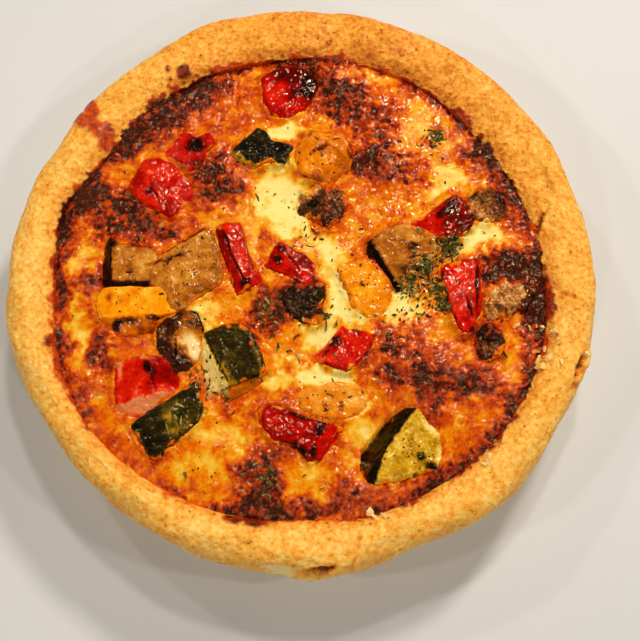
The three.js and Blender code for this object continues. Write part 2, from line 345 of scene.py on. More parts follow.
# %% [markdown]
# ## The custard: how brown is it, and where
# What makes this quiche is its top: egg and cheese that is pale where it set quietly,
# orange where fat rose, and dark mahogany where blisters touched the heat. Colour, gloss and
# relief could each be made apart, but on the real top they go together. So one number, the
# bake, from 0 for cream to 1 for nearly black, drives all three. It is a base level with soft
# ovals, each placed where the photograph shows it, and noise that frays their edges. Along
# the rim the custard is browner, by an amount that changes round the circle.

# %% Browned patches: middle, half width, half height, turn, amount
BROWNED = [
    (162, 120, 50, 17, -35, 0.44), (122, 148, 20, 15, -30, 0.36), (206, 90, 30, 14, -20, 0.36),
    (210, 112, 20, 15, 0, 0.18), (113, 208, 44, 25, -5, 0.44), (150, 234, 36, 13, 0, 0.36),
    (72, 218, 14, 26, 0, 0.30), (84, 186, 18, 16, 0, 0.30), (216, 181, 24, 22, 0, 0.50),
    (64, 258, 7, 45, 0, 0.28), (66, 302, 6, 30, 0, 0.20), (92, 277, 15, 11, 0, 0.26),
    (84, 298, 8, 18, 0, 0.16), (102, 356, 13, 26, -15, 0.30), (63, 350, 13, 22, -20, 0.32),
    (80, 388, 16, 16, 0, 0.20), (100, 428, 12, 42, -45, 0.16), (140, 470, 36, 9, -38, 0.12),
    (186, 491, 36, 8, -25, 0.12), (140, 334, 30, 9, 0, 0.14), (256, 484, 23, 23, 0, 0.46),
    (250, 512, 28, 10, 0, 0.42), (292, 505, 26, 10, 0, 0.22), (266, 454, 22, 12, 0, 0.26),
    (300, 452, 16, 10, 0, 0.22), (345, 488, 23, 13, 0, 0.26), (342, 509, 60, 8, 0, 0.24),
    (400, 491, 42, 8, -15, 0.22), (442, 474, 26, 8, -30, 0.20), (430, 408, 14, 16, 0, 0.30),
    (482, 384, 26, 20, 0, 0.28), (446, 384, 30, 13, 0, 0.26), (402, 358, 36, 30, 0, 0.24),
    (386, 344, 15, 14, 0, 0.18), (410, 376, 30, 12, 0, 0.18), (456, 360, 25, 20, 0, 0.12),
    (300, 68, 34, 9, 0, 0.40), (346, 103, 36, 21, 10, 0.38), (334, 86, 22, 11, 0, 0.28),
    (386, 115, 18, 13, 0, 0.22), (372, 136, 20, 14, 0, 0.24), (388, 168, 38, 17, 10, 0.40),
    (364, 160, 15, 14, 0, 0.30), (246, 92, 18, 13, 0, 0.14), (482, 158, 21, 16, 40, 0.38),
    (502, 190, 14, 26, -20, 0.40), (504, 267, 28, 14, 0, 0.90), (534, 292, 13, 38, 0, 0.76),
    (486, 336, 15, 17, 0, 0.36), (526, 345, 10, 32, 0, 0.28), (516, 222, 14, 16, 0, 0.16),
    (270, 312, 26, 22, 0, 0.36), (302, 300, 20, 18, 0, 0.36), (238, 402, 30, 16, 0, 0.14),
    (328, 206, 22, 20, 0, 0.20), (180, 352, 22, 26, 0, 0.16), (372, 270, 14, 14, 0, 0.12),
]
print(len(BROWNED), "browned patches")

# %% Pale patches, in the same way
PALE = [
    (284, 200, 24, 32, 0, -0.46), (300, 229, 15, 9, 0, -0.32), (325, 246, 20, 11, 0, -0.18),
    (331, 264, 15, 19, 0, -0.32), (338, 300, 14, 26, 15, -0.40), (318, 336, 20, 10, 0, -0.40),
    (366, 313, 21, 9, 0, -0.34), (402, 303, 17, 13, 0, -0.44), (386, 316, 11, 9, 0, -0.2),
    (481, 236, 19, 11, 0, -0.40), (464, 246, 9, 8, 0, -0.28), (446, 180, 13, 13, 0, -0.34),
    (428, 192, 14, 9, 0, -0.18), (414, 128, 17, 13, 0, -0.16), (441, 150, 18, 10, 0, -0.14),
    (426, 108, 16, 10, 40, -0.14), (326, 378, 32, 9, 0, -0.42), (358, 402, 13, 9, 0, -0.40),
    (276, 380, 13, 8, 0, -0.28), (362, 430, 14, 13, 0, -0.26), (206, 315, 16, 12, 0, -0.28),
    (236, 302, 20, 10, 0, -0.16), (250, 236, 8, 20, 0, -0.20), (386, 80, 20, 8, 15, -0.24),
    (256, 72, 15, 8, -20, -0.20), (354, 76, 22, 8, 0, -0.12), (85, 240, 13, 30, 0, -0.22),
    (77, 336, 12, 40, -5, -0.30), (214, 446, 34, 26, 0, -0.14), (214, 490, 24, 24, 0, -0.12),
    (178, 468, 20, 16, 0, -0.14), (112, 436, 18, 22, 30, -0.12), (312, 480, 30, 13, 0, -0.18),
    (290, 355, 30, 13, 0, -0.08), (284, 133, 17, 8, 0, -0.46), (205, 350, 12, 16, 0, -0.20),
    (494, 175, 10, 8, 30, -0.2),
]
print(len(PALE), "pale patches")

# %% Bake at any point
BAKE_BASE, PATCH_SHARE, PATCH_FALL = 0.40, 0.86, 0.7
# Level and strength of the two borders that show as lines: of the browned skin and of the curd
BORDERS, BORDER_WIDTH = [(0.60, 0.02), (0.24, 0.04)], 0.05
# How far edges fray, in pixels, and the size of the noise in millimetres
FRAYING = [(9, 7.0), (5, 2.2)]
EDGE_BROWN = [
    [0, 0.36, 30], [50, 0.36, 18], [82, 0.22, 14], [120, 0.30, 20], [150, 0.26, 16], [180, 0.30, 10],
    [205, 0.06, 14], [235, 0.06, 16], [262, 0.30, 12], [295, 0.26, 14], [325, 0.36, 16],
]
EDGE_BROWN_WIDTH = 4.2


def bake_at(points, angle, from_edge):
    """How brown the custard is at points on its top, from 0 to 1."""
    px, py = photo_pixel(points)
    for k, (push, size) in enumerate(FRAYING):
        px = px + push * wobble(points, size, 1 + k)
        py = py + push * wobble(points, size, 3 + k)
    bake = np.full(len(points), BAKE_BASE)
    for row in BROWNED + PALE:
        bake += PATCH_SHARE * row[5] * np.exp(-PATCH_FALL * oval(px, py, row) ** 4)
    for level, strength in BORDERS:
        bake += strength * np.tanh((bake - level) / BORDER_WIDTH)
    width = EDGE_BROWN_WIDTH * (1 + 0.5 * wobble(points, 9, 8) + 0.3 * wobble(points, 3, 9))
    bake += lobes(EDGE_BROWN, angle) * np.exp(-((from_edge / np.maximum(width, 1)) ** 2))
    return bake


print("directions in which the rim's browning changes:", len(EDGE_BROWN))

# %% [markdown]
# ## The custard's shape
# Set custard is almost level, with low swells over the vegetables that it hides. The form is
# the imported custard's own: the same outline, swells and ripple, repeated here from the same
# named sizes. Rings of points would crowd at the middle, so a square sheet is bent into a
# disc instead, which spreads them evenly. The pastry leans over the custard in a few
# directions, so the edge that shows, and browns, lies further in there.

# %% Sizes of the custard and where the pastry leans over it
FILL_RADIUS, FILL_SHIFT, FILL_LEVEL = 94.5, -3.0, 36.0
FILL_LOBES = [[35, 1.0, 20], [162, 3.4, 9], [186, -1.2, 5], [212, 3.6, 18], [270, -1.6, 7]]
SLOPE_LOBES = [[3, -3.0, 9], [20, -2.8, 8], [34, -3.4, 8], [47, -2.8, 8], [150, -2.8, 7]]
SWELLS = [
    (-56, 61, 16, 1.6), (-74, 24, 13, 1.6), (-30, 38, 9, 1.3), (4, 86, 11, 1.4), (26, 68, 14, 1.6),
    (34, 42, 12, 1.5), (60, 48, 10, 0.7), (86, 4, 12, 1.2), (41, -33, 15, 1.1), (62, -53, 18, 1.7),
    (-7, -20, 11, 1.2), (-18, -83, 11, 1.5), (-36, -75, 14, 1.5), (-83, -14, 9, 1.0),
    (20, -86, 12, 1.1), (-6, 28, 10, -1.1), (13, -8, 9, -1.3), (-34, 22, 8, 0.8),
    (52, -4, 7, -0.8), (-72, -36, 9, -0.7),
]
SWELL_FALL = 0.7
EDGE_DIP, EDGE_WIDTH = 1.0, 5.0
FLOOR, WALL_GAP, EDGE_LAP = 5.0, 0.45, 1.6
CUSTARD_STEPS = 300
DEEP_BAKE, DEEP_SHARE = 0.78, 0.65
RIPPLE = 0.35


def custard_outline(angle):
    return FILL_RADIUS + lobes(FILL_LOBES, angle) + EDGE_LAP


def custard_level(x, y, from_edge):
    height = np.full(len(x), FILL_LEVEL)
    for cx, cy, radius, rise in SWELLS:
        height += rise * np.exp(-((x - cx) ** 2 + (y - cy) ** 2) / (SWELL_FALL * radius**2))
    height += RIPPLE * np.sin(x / 11 + 1.3 * np.cos(y / 11)) + RIPPLE * np.cos(y / 8 + np.sin(x / 8))
    return height - EDGE_DIP * np.exp(-((from_edge / EDGE_WIDTH) ** 2))


# %% A sheet bent into a disc
side = np.linspace(-1, 1, CUSTARD_STEPS + 1)
across, along = (a.ravel() for a in np.meshgrid(side, side))
wider = np.abs(across) > np.abs(along)
share = np.where(wider, np.abs(across), np.abs(along))
with np.errstate(divide="ignore", invalid="ignore"):
    quarter = np.where(wider, math.pi / 4 * along / across, math.pi / 2 - math.pi / 4 * across / along)
angle = np.nan_to_num(quarter) + np.where(np.where(wider, across, along) < 0, math.pi, 0)
reach = share * custard_outline(angle)
from_edge = custard_outline(angle) - reach
top = np.stack([reach * np.cos(angle), reach * np.sin(angle) + FILL_SHIFT, np.zeros_like(reach)], 1)
top[:, 2] = custard_level(top[:, 0], top[:, 1], from_edge)
shown_edge = np.maximum(from_edge + lobes(SLOPE_LOBES, angle), 0)
bake = bake_at(top, angle, shown_edge)
bake -= (1 - DEEP_SHARE) * np.maximum(bake - DEEP_BAKE, 0)
print("custard top:", len(top), "points, bake from", round(bake.min(), 2), "to", round(bake.max(), 2))

# %% [markdown]
# ## Blisters, puckers and streaks
# Cheese that browns also bubbles. Each blister is a low dome, some of them burst into a
# crater, and between them the skin puckers in sharp little ridges. A bump in the material
# could hint at them, but real height is right from every side and casts shadows. There is
# more of it where the bake is high, and pale curd stays smooth. The bake is also painted
# with the relief: lower on ridges and domes, as painted light, and higher in the valleys
# and burst craters, as painted shade.

# %% Relief that goes with the bake
BLISTERS, BLISTER_SIZE, BURST_SHARE = 1500, (0.8, 2.6), 0.35
# Change of bake and height in millimetres of the unevenness, the streaks and the blisters.
# The streaks' and blisters' change of bake is painted shade in valleys and craters and
# painted light on ridges and domes.
UNEVEN_BAKE, STREAK_SHADE_AND_LIGHT, BLISTER_LIGHT_AND_SHADE = 0.16, 0.24, 0.05
UNEVEN_RISE, STREAK_RISE, BLISTER_RISE = 0.55, 0.80, 0.45


def blister_field(points, count):
    """Height of the blisters, in shares of their own radius."""
    rise = np.zeros(len(points))
    spots = points[draw.integers(0, len(points), count)]
    sizes = BLISTER_SIZE[0] + (BLISTER_SIZE[1] - BLISTER_SIZE[0]) * draw.random(count) ** 2
    burst = draw.random(count) < BURST_SHARE
    for spot, size, is_burst in zip(spots, sizes, burst):
        aside = np.abs(points[:, :2] - spot[:2])
        near = np.flatnonzero((aside[:, 0] < size) & (aside[:, 1] < size))
        away = np.hypot(points[near, 0] - spot[0], points[near, 1] - spot[1]) / size
        dome = np.sqrt(np.clip(1 - away**2, 0, 1))
        if is_burst:
            dome = np.exp(-(((away - 0.7) / 0.2) ** 2)) * 0.6 - 0.3 * (away < 0.6)
        rise[near] = np.where(abs(dome * size) > abs(rise[near]), dome * size, rise[near])
    return rise


streaks = creases(top, 3.4, 5) * 0.6 + creases(top, 1.7, 6) * 0.4
blisters = blister_field(top, BLISTERS)
uneven = wobble(top, 6, 7, 3)
rough_share = smooth(0.2, 0.7, bake)
bake = bake + UNEVEN_BAKE * uneven
# Painted shade in the streaks' valleys and burst craters, painted light on ridges and domes
bake += rough_share * (STREAK_SHADE_AND_LIGHT * (0.5 - streaks) - BLISTER_LIGHT_AND_SHADE * blisters)
top[:, 2] += UNEVEN_RISE * uneven * (0.3 + 0.7 * rough_share)
top[:, 2] += rough_share * (STREAK_RISE * (streaks - 0.5) + BLISTER_RISE * blisters)
bake = np.clip(bake, 0, 1)
print("relief added; highest point", round(top[:, 2].max(), 1), "mm")

# %% [markdown]
# ## The custard's finish
# The bake runs through a colour ramp, from cream through egg yellow and orange to mahogany.
# Noise shifts the bake a little at every spot, so that no patch is one flat colour. Where the
# bump sinks, between the beads and along the puckers, the colour is darker, as painted
# shade, and on the beads lighter, as painted light. The top is oily and sparkles in many
# small glints. Sprinkling white dots would look painted from any other side. So the surface
# is nearly as smooth as oil, and round beads of three sizes, as bump, mirror the lamps. Fine
# noise stays out of that bump, because it would blur them.

# %% Custard material
BAKE_COLORS = [
    (0.00, (248, 228, 142)), (0.13, (242, 194, 62)), (0.26, (236, 154, 12)), (0.42, (228, 110, 4)),
    (0.55, (208, 76, 4)), (0.70, (172, 50, 10)), (0.86, (126, 32, 10)), (1.00, (58, 15, 7)),
]
# Sizes of the beads, in millimetres, and the height of the bump
BEADS, BEAD_RISE = (2.7, 1.6, 1.1), 0.75


def custard_finish():
    recipe = Recipe("custard")
    bake_here = recipe.painted("bake")
    fine = recipe.grain(1.3, 3, 0.65) - 0.5
    soft = recipe.grain(5, 2) - 0.5
    swell = recipe.grain(2.6, 2) - 0.5
    bent = recipe.grain(5, 3) - 0.5
    bubbly = ((bake_here - 0.35) * 2.2).clamped()
    pucker = (1.0 - bent * bent * 900.0).clamped() * (bake_here * 1.5).clamped()
    coarse, middling, small = (recipe.blebs(size) for size in BEADS)
    valleys = (coarse * 0.6 + middling * 0.4 - 0.4) * bubbly + pucker * 0.2 - swell * 0.5
    stir = (bake_here + 0.06) * (1.15 - bake_here) * 1.75
    # Painted shade where the bump sinks and painted light where it rises: valleys darken the colour
    shade = bake_here + (soft - fine * 0.8) * stir + valleys * (bubbly * 0.55 + 0.25)
    height = (0.5 - valleys) * (bubbly * 0.6 + 0.4) - (small - 0.4) * bubbly * 0.22
    return recipe.finish(
        Base_Color=recipe.ramp(shade.clamped(), BAKE_COLORS),
        Roughness=((0.42 - bake_here) * 0.8).clamped() + 0.10,
        Normal=recipe.bump(height, BEAD_RISE),
        Specular_IOR_Level=0.36,
        Specular_Tint=(1.0, 0.82, 0.52, 1.0),
    )


custard_material = custard_finish()
print("custard nodes:", len(custard_material.node_tree.nodes))

# %% [markdown]
# ## The pastry case
# The rim is hand-pressed shortcrust: wide, rounded, a little wavy, and grainy all over. A
# ring stretched out of shape could stand for it, but then it would drift from the solid. So
# the solid's own section points are joined by a smooth curve and swept round with the same
# lobes. Rings of points lie closest together over the crest and the outer wall, where they
# show. The crumb is real relief down to about a millimetre, and bump below that.

# %% Sizes of the case, as in the solid
RIM_RADIUS, RIM_HEIGHT, BASE_RADIUS = 114.5, 40.0, 104.0
BASE_FOLLOWS, BASE_CLEAR = 0.4, 6.0
RIM_LOBES = [
    [15, -2.2, 14], [45, -0.6, 10], [90, 1.8, 20], [111, 1.2, 6], [150, -1.7, 18], [190, 1.0, 7],
    [222, -1.8, 15], [274, 1.5, 6], [291, -1.5, 6], [309, 1.0, 6], [330, -1.5, 7], [352, -0.8, 8],
]
CREST_LOBES = [
    [84, -1.2, 4], [128, -0.6, 5], [198, -0.5, 9], [262, 0.5, 12], [318, -0.6, 9], [8, 0.5, 12],
]
FLAKE_DIRECTION, FLAKE_SPREAD, FLAKE_LIP, FLAKE_NOTCH = 271, 3.6, 1.7, 1.5
KNEAD_HEIGHT, KNEAD_COARSE, KNEAD_FINE, KNEAD_DRIFT = 0.3, 13, 22, 1.1
CRUST_SPOKES = 900
STEPS_BETWEEN = [1, 1, 3, 6, 6, 5, 6, 7, 8, 9, 9, 9, 8, 6, 2, 2]


# %% Section of the case
def kneaded(angle, ring):
    return KNEAD_HEIGHT * (np.sin(KNEAD_COARSE * angle + KNEAD_DRIFT * ring)
                           + np.sin(KNEAD_FINE * angle - 2 * KNEAD_DRIFT * ring))


def crust_section(angle):
    """Points of the section in each direction: radius, height, share of the custard's shift."""
    rim, inside = RIM_RADIUS + lobes(RIM_LOBES, angle), FILL_RADIUS + lobes(FILL_LOBES, angle)
    base = BASE_RADIUS + BASE_FOLLOWS * (rim - RIM_RADIUS)
    crest = RIM_HEIGHT + lobes(CREST_LOBES, angle)
    lip = lobes([[FLAKE_DIRECTION, FLAKE_LIP, FLAKE_SPREAD]], angle)
    notch = lobes([[FLAKE_DIRECTION, FLAKE_NOTCH, FLAKE_SPREAD / 2]], angle)
    slope = lobes(SLOPE_LOBES, angle)
    level = np.ones_like(angle)
    rows = [
        (base - 3, 0 * level, 0), (base - 0.8, 0.9 * level, 0), (base + 0.6, 4 * level, 0),
        (base + 0.55 * (rim - base), 14 * level, 0), (rim - 2 + lip, 22 * level, 0),
        (rim - 0.7 + lip, 26 * level, 0), (rim - notch, 30.5 * level, 0), (rim - 0.9, crest - 4.5, 0),
        (rim - 3.4, crest - 1.6, 0), (rim - 8, crest, 0.3), (0.4 * rim + 0.6 * inside, crest - 0.4, 0.6),
        (inside + 4.2 + 0.6 * slope, crest - 1.4, 0.9), (inside + 1.4 + slope, crest - 3.2, 1),
        (inside + slope, (FILL_LEVEL - 1.2) * level, 1), (inside - 0.8, (FILL_LEVEL - 5) * level, 1),
        (inside - 5, (FLOOR + 4) * level, 1), (inside - 8, FLOOR * level, 1),
    ]
    section = []
    for ring, (radius, height, shift) in enumerate(rows):
        rise = np.clip((height - BASE_CLEAR) / (RIM_HEIGHT - BASE_CLEAR), 0, 1)
        outer = rise**2 * (3 - 2 * rise) * kneaded(angle, ring) if shift == 0 else 0
        lift = kneaded(angle, ring) if 0 < shift < 1 else 0
        section.append(np.stack([radius + outer, height + lift, shift * level], -1))
    return np.array(section)


def between(before, start, end, after, share):
    """A smooth curve through `start` and `end` that also heeds their neighbours."""
    a, b = 2 * start, end - before
    c, d = 2 * before - 5 * start + 4 * end - after, -before + 3 * start - 3 * end + after
    return 0.5 * (a + b * share + c * share**2 + d * share**3)


# %% Sweep the section round
spokes = np.linspace(0, 2 * math.pi, CRUST_SPOKES, endpoint=False)
section = crust_section(spokes)
rings = []
for k, steps in enumerate(STEPS_BETWEEN):
    before, after = section[max(k - 1, 0)], section[min(k + 2, len(section) - 1)]
    for step in range(steps):
        rings.append(between(before, section[k], section[k + 1], after, step / steps))
rings = np.array([*rings, section[-1]])
rings[..., 1] = np.maximum(rings[..., 1], 0)
crust = np.stack([
    rings[..., 0] * np.cos(spokes), rings[..., 0] * np.sin(spokes) + rings[..., 2] * FILL_SHIFT,
    rings[..., 1],
], -1).reshape(-1, 3)
count = len(rings)
crust_faces = tube(count, CRUST_SPOKES)[:, [0, 3, 2, 1]]
print("crust:", count, "rings of", CRUST_SPOKES, "points")

# %% [markdown]
# ## Crumb, cracks, breaks and stains of the pastry
# Pressed pastry shows thumb marks, grains and fine grit, and pits where fat melted out. The
# wall that stood against the tin is smoother and paler than the top. The rim has split in a
# few short cracks, and flakes broke off it at the front and at the right. Custard that ran
# over while it baked left brown stains, which stand slightly proud. All of this could be
# sculpted by hand. Here it is one height, the relief, pushed out along the normals, because a
# sum of noises, lines and ovals gives the same crust in every run and is quickly changed.

# %% Noise over the pastry, and which side is which
THUMB_SIZE, GRAIN_SIZE, GRIT_SIZE, PIT_SIZE, FRAY_SIZE = 9, 2.4, 1.1, 1.6, 3
normal = normals_of(crust, crust_faces)
# 0 at the foot of the outer wall, 1 where the case ends inside, under the custard
inward = np.repeat(np.arange(count) / (count - 1), CRUST_SPOKES)
px, py = photo_pixel(crust)
on_top = smooth(26, 34, crust[:, 2]) * (crust[:, 2] > FLOOR)
seen = smooth(0.1, 0.35, normal @ towards_camera)
thumbed, grains = wobble(crust, THUMB_SIZE, 21), wobble(crust, GRAIN_SIZE, 22, 3)
grit, pits = wobble(crust, GRIT_SIZE, 23), smooth(0.42, 0.62, wobble(crust, PIT_SIZE, 24, 1))
frayed = 0.35 * wobble(crust, FRAY_SIZE, 25)
print("points of the crust on its top:", int((on_top > 0.5).sum()))

# %% Stains: middle, half width, half height, turn, bake
SPILLS = [
    (92, 110, 7, 11, 0, 0.64), (86, 121, 14, 8, 20, 0.62), (102, 131, 17, 9, 28, 0.60),
    (108, 144, 10, 8, 40, 0.64), (184, 72, 7.5, 7.5, 0, 0.80), (168, 69, 3, 4, 0, 0.66),
    (171, 79, 2, 3, 0, 0.7), (176, 90, 2, 3, 0, 0.66), (52, 341, 9, 7, 0, 0.70),
    (64, 366, 9, 24, -18, 0.62), (84, 402, 9, 22, -38, 0.56), (545, 290, 7, 17, 0, 0.78),
    (548, 314, 7, 9, 0, 0.66), (541, 346, 8, 15, 15, 0.60), (98, 428, 14, 4, 0, 0.60),
    (58, 283, 3, 3, 0, 0.5), (532, 250, 4, 9, 0, 0.5), (80, 190, 8, 6, 0, 0.58),
    (236, 519, 14, 5, 0, 0.78), (256, 522, 14, 5, 0, 0.78),
]
# Custard also climbed the inner slope, up to about this level
STAIN_LEVEL, STAIN_PALER, STAIN_DARKER = 36.6, 0.12, 0.04
around_rim = np.tile(spokes, count)
climb = STAIN_LEVEL + 1.7 * wobble(crust, 8, 27) + 1.3 * wobble(crust, 2.4, 28)
spill = smooth(0.3, -0.3, crust[:, 2] - climb) * (inward > 0.5)
spill_bake = bake_at(crust, around_rim, np.zeros(len(crust)))
spill_bake -= STAIN_PALER * smooth(-1, 1, crust[:, 2] - FILL_LEVEL)
for row in SPILLS:
    patch = smooth(1.3, 0.75, oval(px, py, row) + frayed) * seen * on_top
    spill = np.maximum(spill, patch)
    stain = row[5] + STAIN_DARKER + 0.2 * grains + 0.1 * thumbed
    spill_bake = np.where(patch > 0.05, stain, spill_bake)
spill_bake = np.clip(spill_bake, 0, 1)
print("stained points:", int((spill > 0.5).sum()))

# %% Cracks run from pixel to pixel, and the pastry stands up at their right
CRACKS = [
    (548, 205, 533, 240), (536, 236, 541, 214), (358, 556, 352, 568), (360, 534, 356, 552),
    (334, 42, 322, 48), (52, 278, 62, 284), (560, 292, 578, 298),
]
CRACK_WIDTH, CRACK_DEPTH, LIP_RISE, LIP_ASIDE = 2.4, 0.9, 0.5, 2.5
THUMB_RISE, PIT_DEPTH, SPILL_RISE = 0.30, 0.15, 0.5
crack = sum(near_line(px, py, row, CRACK_WIDTH) for row in CRACKS) * seen * on_top
lip = sum(near_line(px - LIP_ASIDE, py, row, CRACK_WIDTH) for row in CRACKS) * seen * on_top
relief = THUMB_RISE * thumbed * on_top - PIT_DEPTH * pits * (0.3 + 0.7 * on_top)
relief += (0.10 + 0.08 * on_top) * grains + (0.05 + 0.05 * on_top) * grit
relief = relief * (1 - 0.8 * spill) + SPILL_RISE * spill - CRACK_DEPTH * crack + LIP_RISE * lip
print("relief from", round(relief.min(), 1), "to", round(relief.max(), 1), "mm; cracks", len(CRACKS))

# %% Breaks: middle, half width, half height, turn, rise in millimetres, change of bake
BREAKS = [
    (312, 574, 18, 5, -8, -2.2, 0.42), (324, 571, 11, 4, -16, -1.6, 0.8),
    (306, 582, 24, 2.5, 0, 0.3, -0.25), (282, 571, 20, 6, 10, -0.9, -0.32),
    (581, 366, 3.5, 12, 18, -2.4, 0.60), (589, 358, 2.5, 11, 14, 0.9, -0.25),
    (575, 386, 4, 5, 0, -1.0, 0.3),
]
broken = np.zeros(len(crust))
outside = (inward < 0.6) * (normal @ towards_camera > 0)
for row in BREAKS:
    patch = smooth(1.3, 0.7, oval(px, py, row) + 1.4 * frayed) * outside
    relief += row[5] * patch
    # A rise in bake darkens the hollows of the breaks, as painted shade; a fall makes the freshly broken
    # crumb paler
    broken += row[6] * patch
# The foot and the inside stay plain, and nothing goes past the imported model's box
relief *= smooth(0.4, 3.0, crust[:, 2]) * (1 - smooth(0.80, 0.88, inward))
low_corner, high_corner = np.array(cad_box) / MM
crust = np.clip(crust + normal * relief[:, None], low_corner, high_corner)
print("broken points:", int((broken != 0).sum()))

# %% How brown the pastry is
# The base and the top's share, then directions in which the top is darker, most of all
# towards the far side, and a little paler at the left and near side
WALL_BAKE, TOP_BAKE, SLOPE_BAKE, FOOT_BAKE, WALL_PALER = 0.26, 0.12, 0.14, 0.22, 0.10
CRUST_BY_DIRECTION = [[75, 0.21, 40], [190, -0.06, 35], [290, -0.02, 40]]
direction = np.arctan2(crust[:, 1], crust[:, 0])
crust_bake = WALL_BAKE + TOP_BAKE * on_top + lobes(CRUST_BY_DIRECTION, direction) * on_top
crust_bake += SLOPE_BAKE * smooth(0.62, 0.78, inward) + FOOT_BAKE * smooth(4, 0, crust[:, 2])
crust_bake += 0.07 * thumbed + 0.10 * grains + 0.05 * wobble(crust, 16, 26)
# Painted shade inside the cracks and painted light on the raised lips beside them; then the breaks' change
crust_bake += 0.12 * pits + 0.4 * crack - 0.1 * lip + broken
crust_bake -= WALL_PALER * smooth(0.2, 0.8, 1 - on_top)
print("pastry's bake from", round(crust_bake.min(), 2), "to", round(crust_bake.max(), 2))

# %% [markdown]
# ## The pastry's finish
# Shortcrust is dry and scatters light softly, with a faint shine where its fat came out. Its
# colour runs from pale butter to toasted gold. One even noise would look like sand, so the
# colour mixes soft clouds, crumb, and small holes that are darker and deeper. The colour also
# follows the bump: lighter where it rises, as painted light, and darker where it sinks, as
# painted shade. Where custard ran over, the custard's own ramp takes over, and the surface
# turns glossy.

# %% Crust material
CRUST_COLORS = [
    (0.0, (255, 232, 160)), (0.2, (255, 210, 112)), (0.45, (248, 176, 66)), (0.68, (226, 138, 38)),
    (0.86, (194, 104, 24)), (1.0, (120, 54, 12)),
]
CRUMB_RISE = 0.6


def crust_finish():
    recipe = Recipe("crust")
    bake_here, spilt = recipe.painted("bake"), recipe.painted("spill")
    soft = recipe.grain(5, 2) - 0.5
    fine = recipe.grain(1.7, 3, 0.6) - 0.5
    crumbs = recipe.blebs(2.6, 0.5, 1.2) - 0.4
    holes = ((recipe.grain(2.0, 3) - 0.57) * 7.0).clamped()
    pinholes = ((recipe.grain(1.6, 1) - 0.68) * 8.0).clamped()
    # Painted light and shade: each term that lowers the bump below also darkens the colour
    shade = bake_here + soft * 0.4 + fine + crumbs * 0.14 + holes * 0.13 + pinholes * 0.3 - 0.01
    height = 0.5 - fine * 0.5 - crumbs * 0.4 - holes * 0.3 - pinholes * 0.4
    pastry = recipe.ramp(shade.clamped(), CRUST_COLORS)
    run = recipe.ramp((recipe.painted("spill_bake") - fine * 0.7).clamped(), BAKE_COLORS)
    return recipe.finish(
        Base_Color=recipe.mix(spilt, pastry, run),
        Roughness=0.5 - spilt * 0.3,
        Normal=recipe.bump(height, CRUMB_RISE),
        Specular_IOR_Level=0.3,
        Specular_Tint=(1.0, 0.86, 0.62, 1.0),
    )


# %% Close the case and make it
foot = np.arange(CRUST_SPOKES)
under_custard = foot + (count - 1) * CRUST_SPOKES
middle = np.array([[0, 0, 0], [0, FILL_SHIFT, FLOOR]])
closed = np.vstack([
    halved(crust_faces), fan(len(crust), foot[::-1]), fan(len(crust) + 1, under_custard),
])
paint_crust = {
    "bake": np.append(crust_bake, [0.6, 0.4]), "spill": np.append(spill, [0, 0]),
    "spill_bake": np.append(spill_bake, [0, 0]),
}
add_piece(
    "pastry_case", np.vstack([crust, middle]), closed, "crust", crust_finish(), "crust", **paint_crust,
)

# %% [markdown]
# ## The vegetables
# Each roasted piece is a slab with an outline of its own, pressed into the custard. Whole
# peppers or mushrooms could be modelled and cut, but hardly more than the upper face shows.
# So the outline is read off the photograph as a few corners, joined by a closed curve. Level
# and tilt come from the imported solid that the piece replaces: a plane fitted through that
# solid's upper face. Rings of points run from the middle to the edge, where they turn down
# and dive into the custard.
#
# Roasting shrivels the top: broad noise buckles it, fine ridges wrinkle it, and where a
# pepper folded there is a groove, painted dark as painted shade, with raised lips beside it
# painted paler as painted light. Colour is one number, the tone, on the ramp of its kind.
# The marks are where the photograph shows flesh, skin or char, and a few are painted
# highlights and painted shade.

# %% Kinds of vegetable
# Colours along the tone, height and size of the wrinkles, height of the fine ones, roughness,
# and how far custard has run over the edges
KINDS = {
    "red_pepper": {
        "colors": [(0.0, (24, 4, 2)), (0.3, (98, 2, 0)), (0.55, (182, 6, 0)), (0.78, (228, 34, 6)),
                   (1.0, (240, 150, 96))],
        "wrinkle": 0.35, "size": 5.0, "fine": 0.10, "rough": 0.08, "film": 0.08,
    },
    "yellow_pepper": {
        "colors": [(0.0, (36, 14, 4)), (0.3, (150, 62, 4)), (0.55, (226, 118, 4)), (0.78, (252, 158, 8)),
                   (1.0, (255, 200, 60))],
        "wrinkle": 0.30, "size": 5.0, "fine": 0.08, "rough": 0.12, "film": 0.15,
    },
    "courgette": {
        "colors": [(0.0, (10, 8, 4)), (0.25, (44, 34, 8)), (0.45, (92, 74, 14)), (0.65, (190, 136, 14)),
                   (0.82, (226, 178, 46)), (1.0, (244, 220, 136))],
        "wrinkle": 0.25, "size": 4.0, "fine": 0.14, "rough": 0.12, "film": 0.05,
    },
    "aubergine": {
        "colors": [(0.0, (12, 5, 3)), (0.25, (64, 26, 8)), (0.5, (170, 92, 18)), (0.75, (218, 146, 50)),
                   (1.0, (246, 220, 160))],
        "wrinkle": 0.40, "size": 4.5, "fine": 0.10, "rough": 0.14, "film": 0.05,
    },
    "mushroom": {
        "colors": [(0.0, (12, 5, 3)), (0.35, (52, 20, 10)), (0.6, (122, 62, 24)), (0.8, (196, 124, 58)),
                   (1.0, (238, 196, 130))],
        "wrinkle": 0.70, "size": 3.2, "fine": 0.35, "rough": 0.14, "film": 0.35,
    },
    "onion": {
        "colors": [(0.0, (74, 30, 6)), (0.4, (176, 84, 10)), (0.7, (232, 136, 22)), (1.0, (252, 190, 80))],
        "wrinkle": 0.20, "size": 6.0, "fine": 0.04, "rough": 0.12, "film": 0.35,
    },
}

print("kinds of vegetable:", len(KINDS))
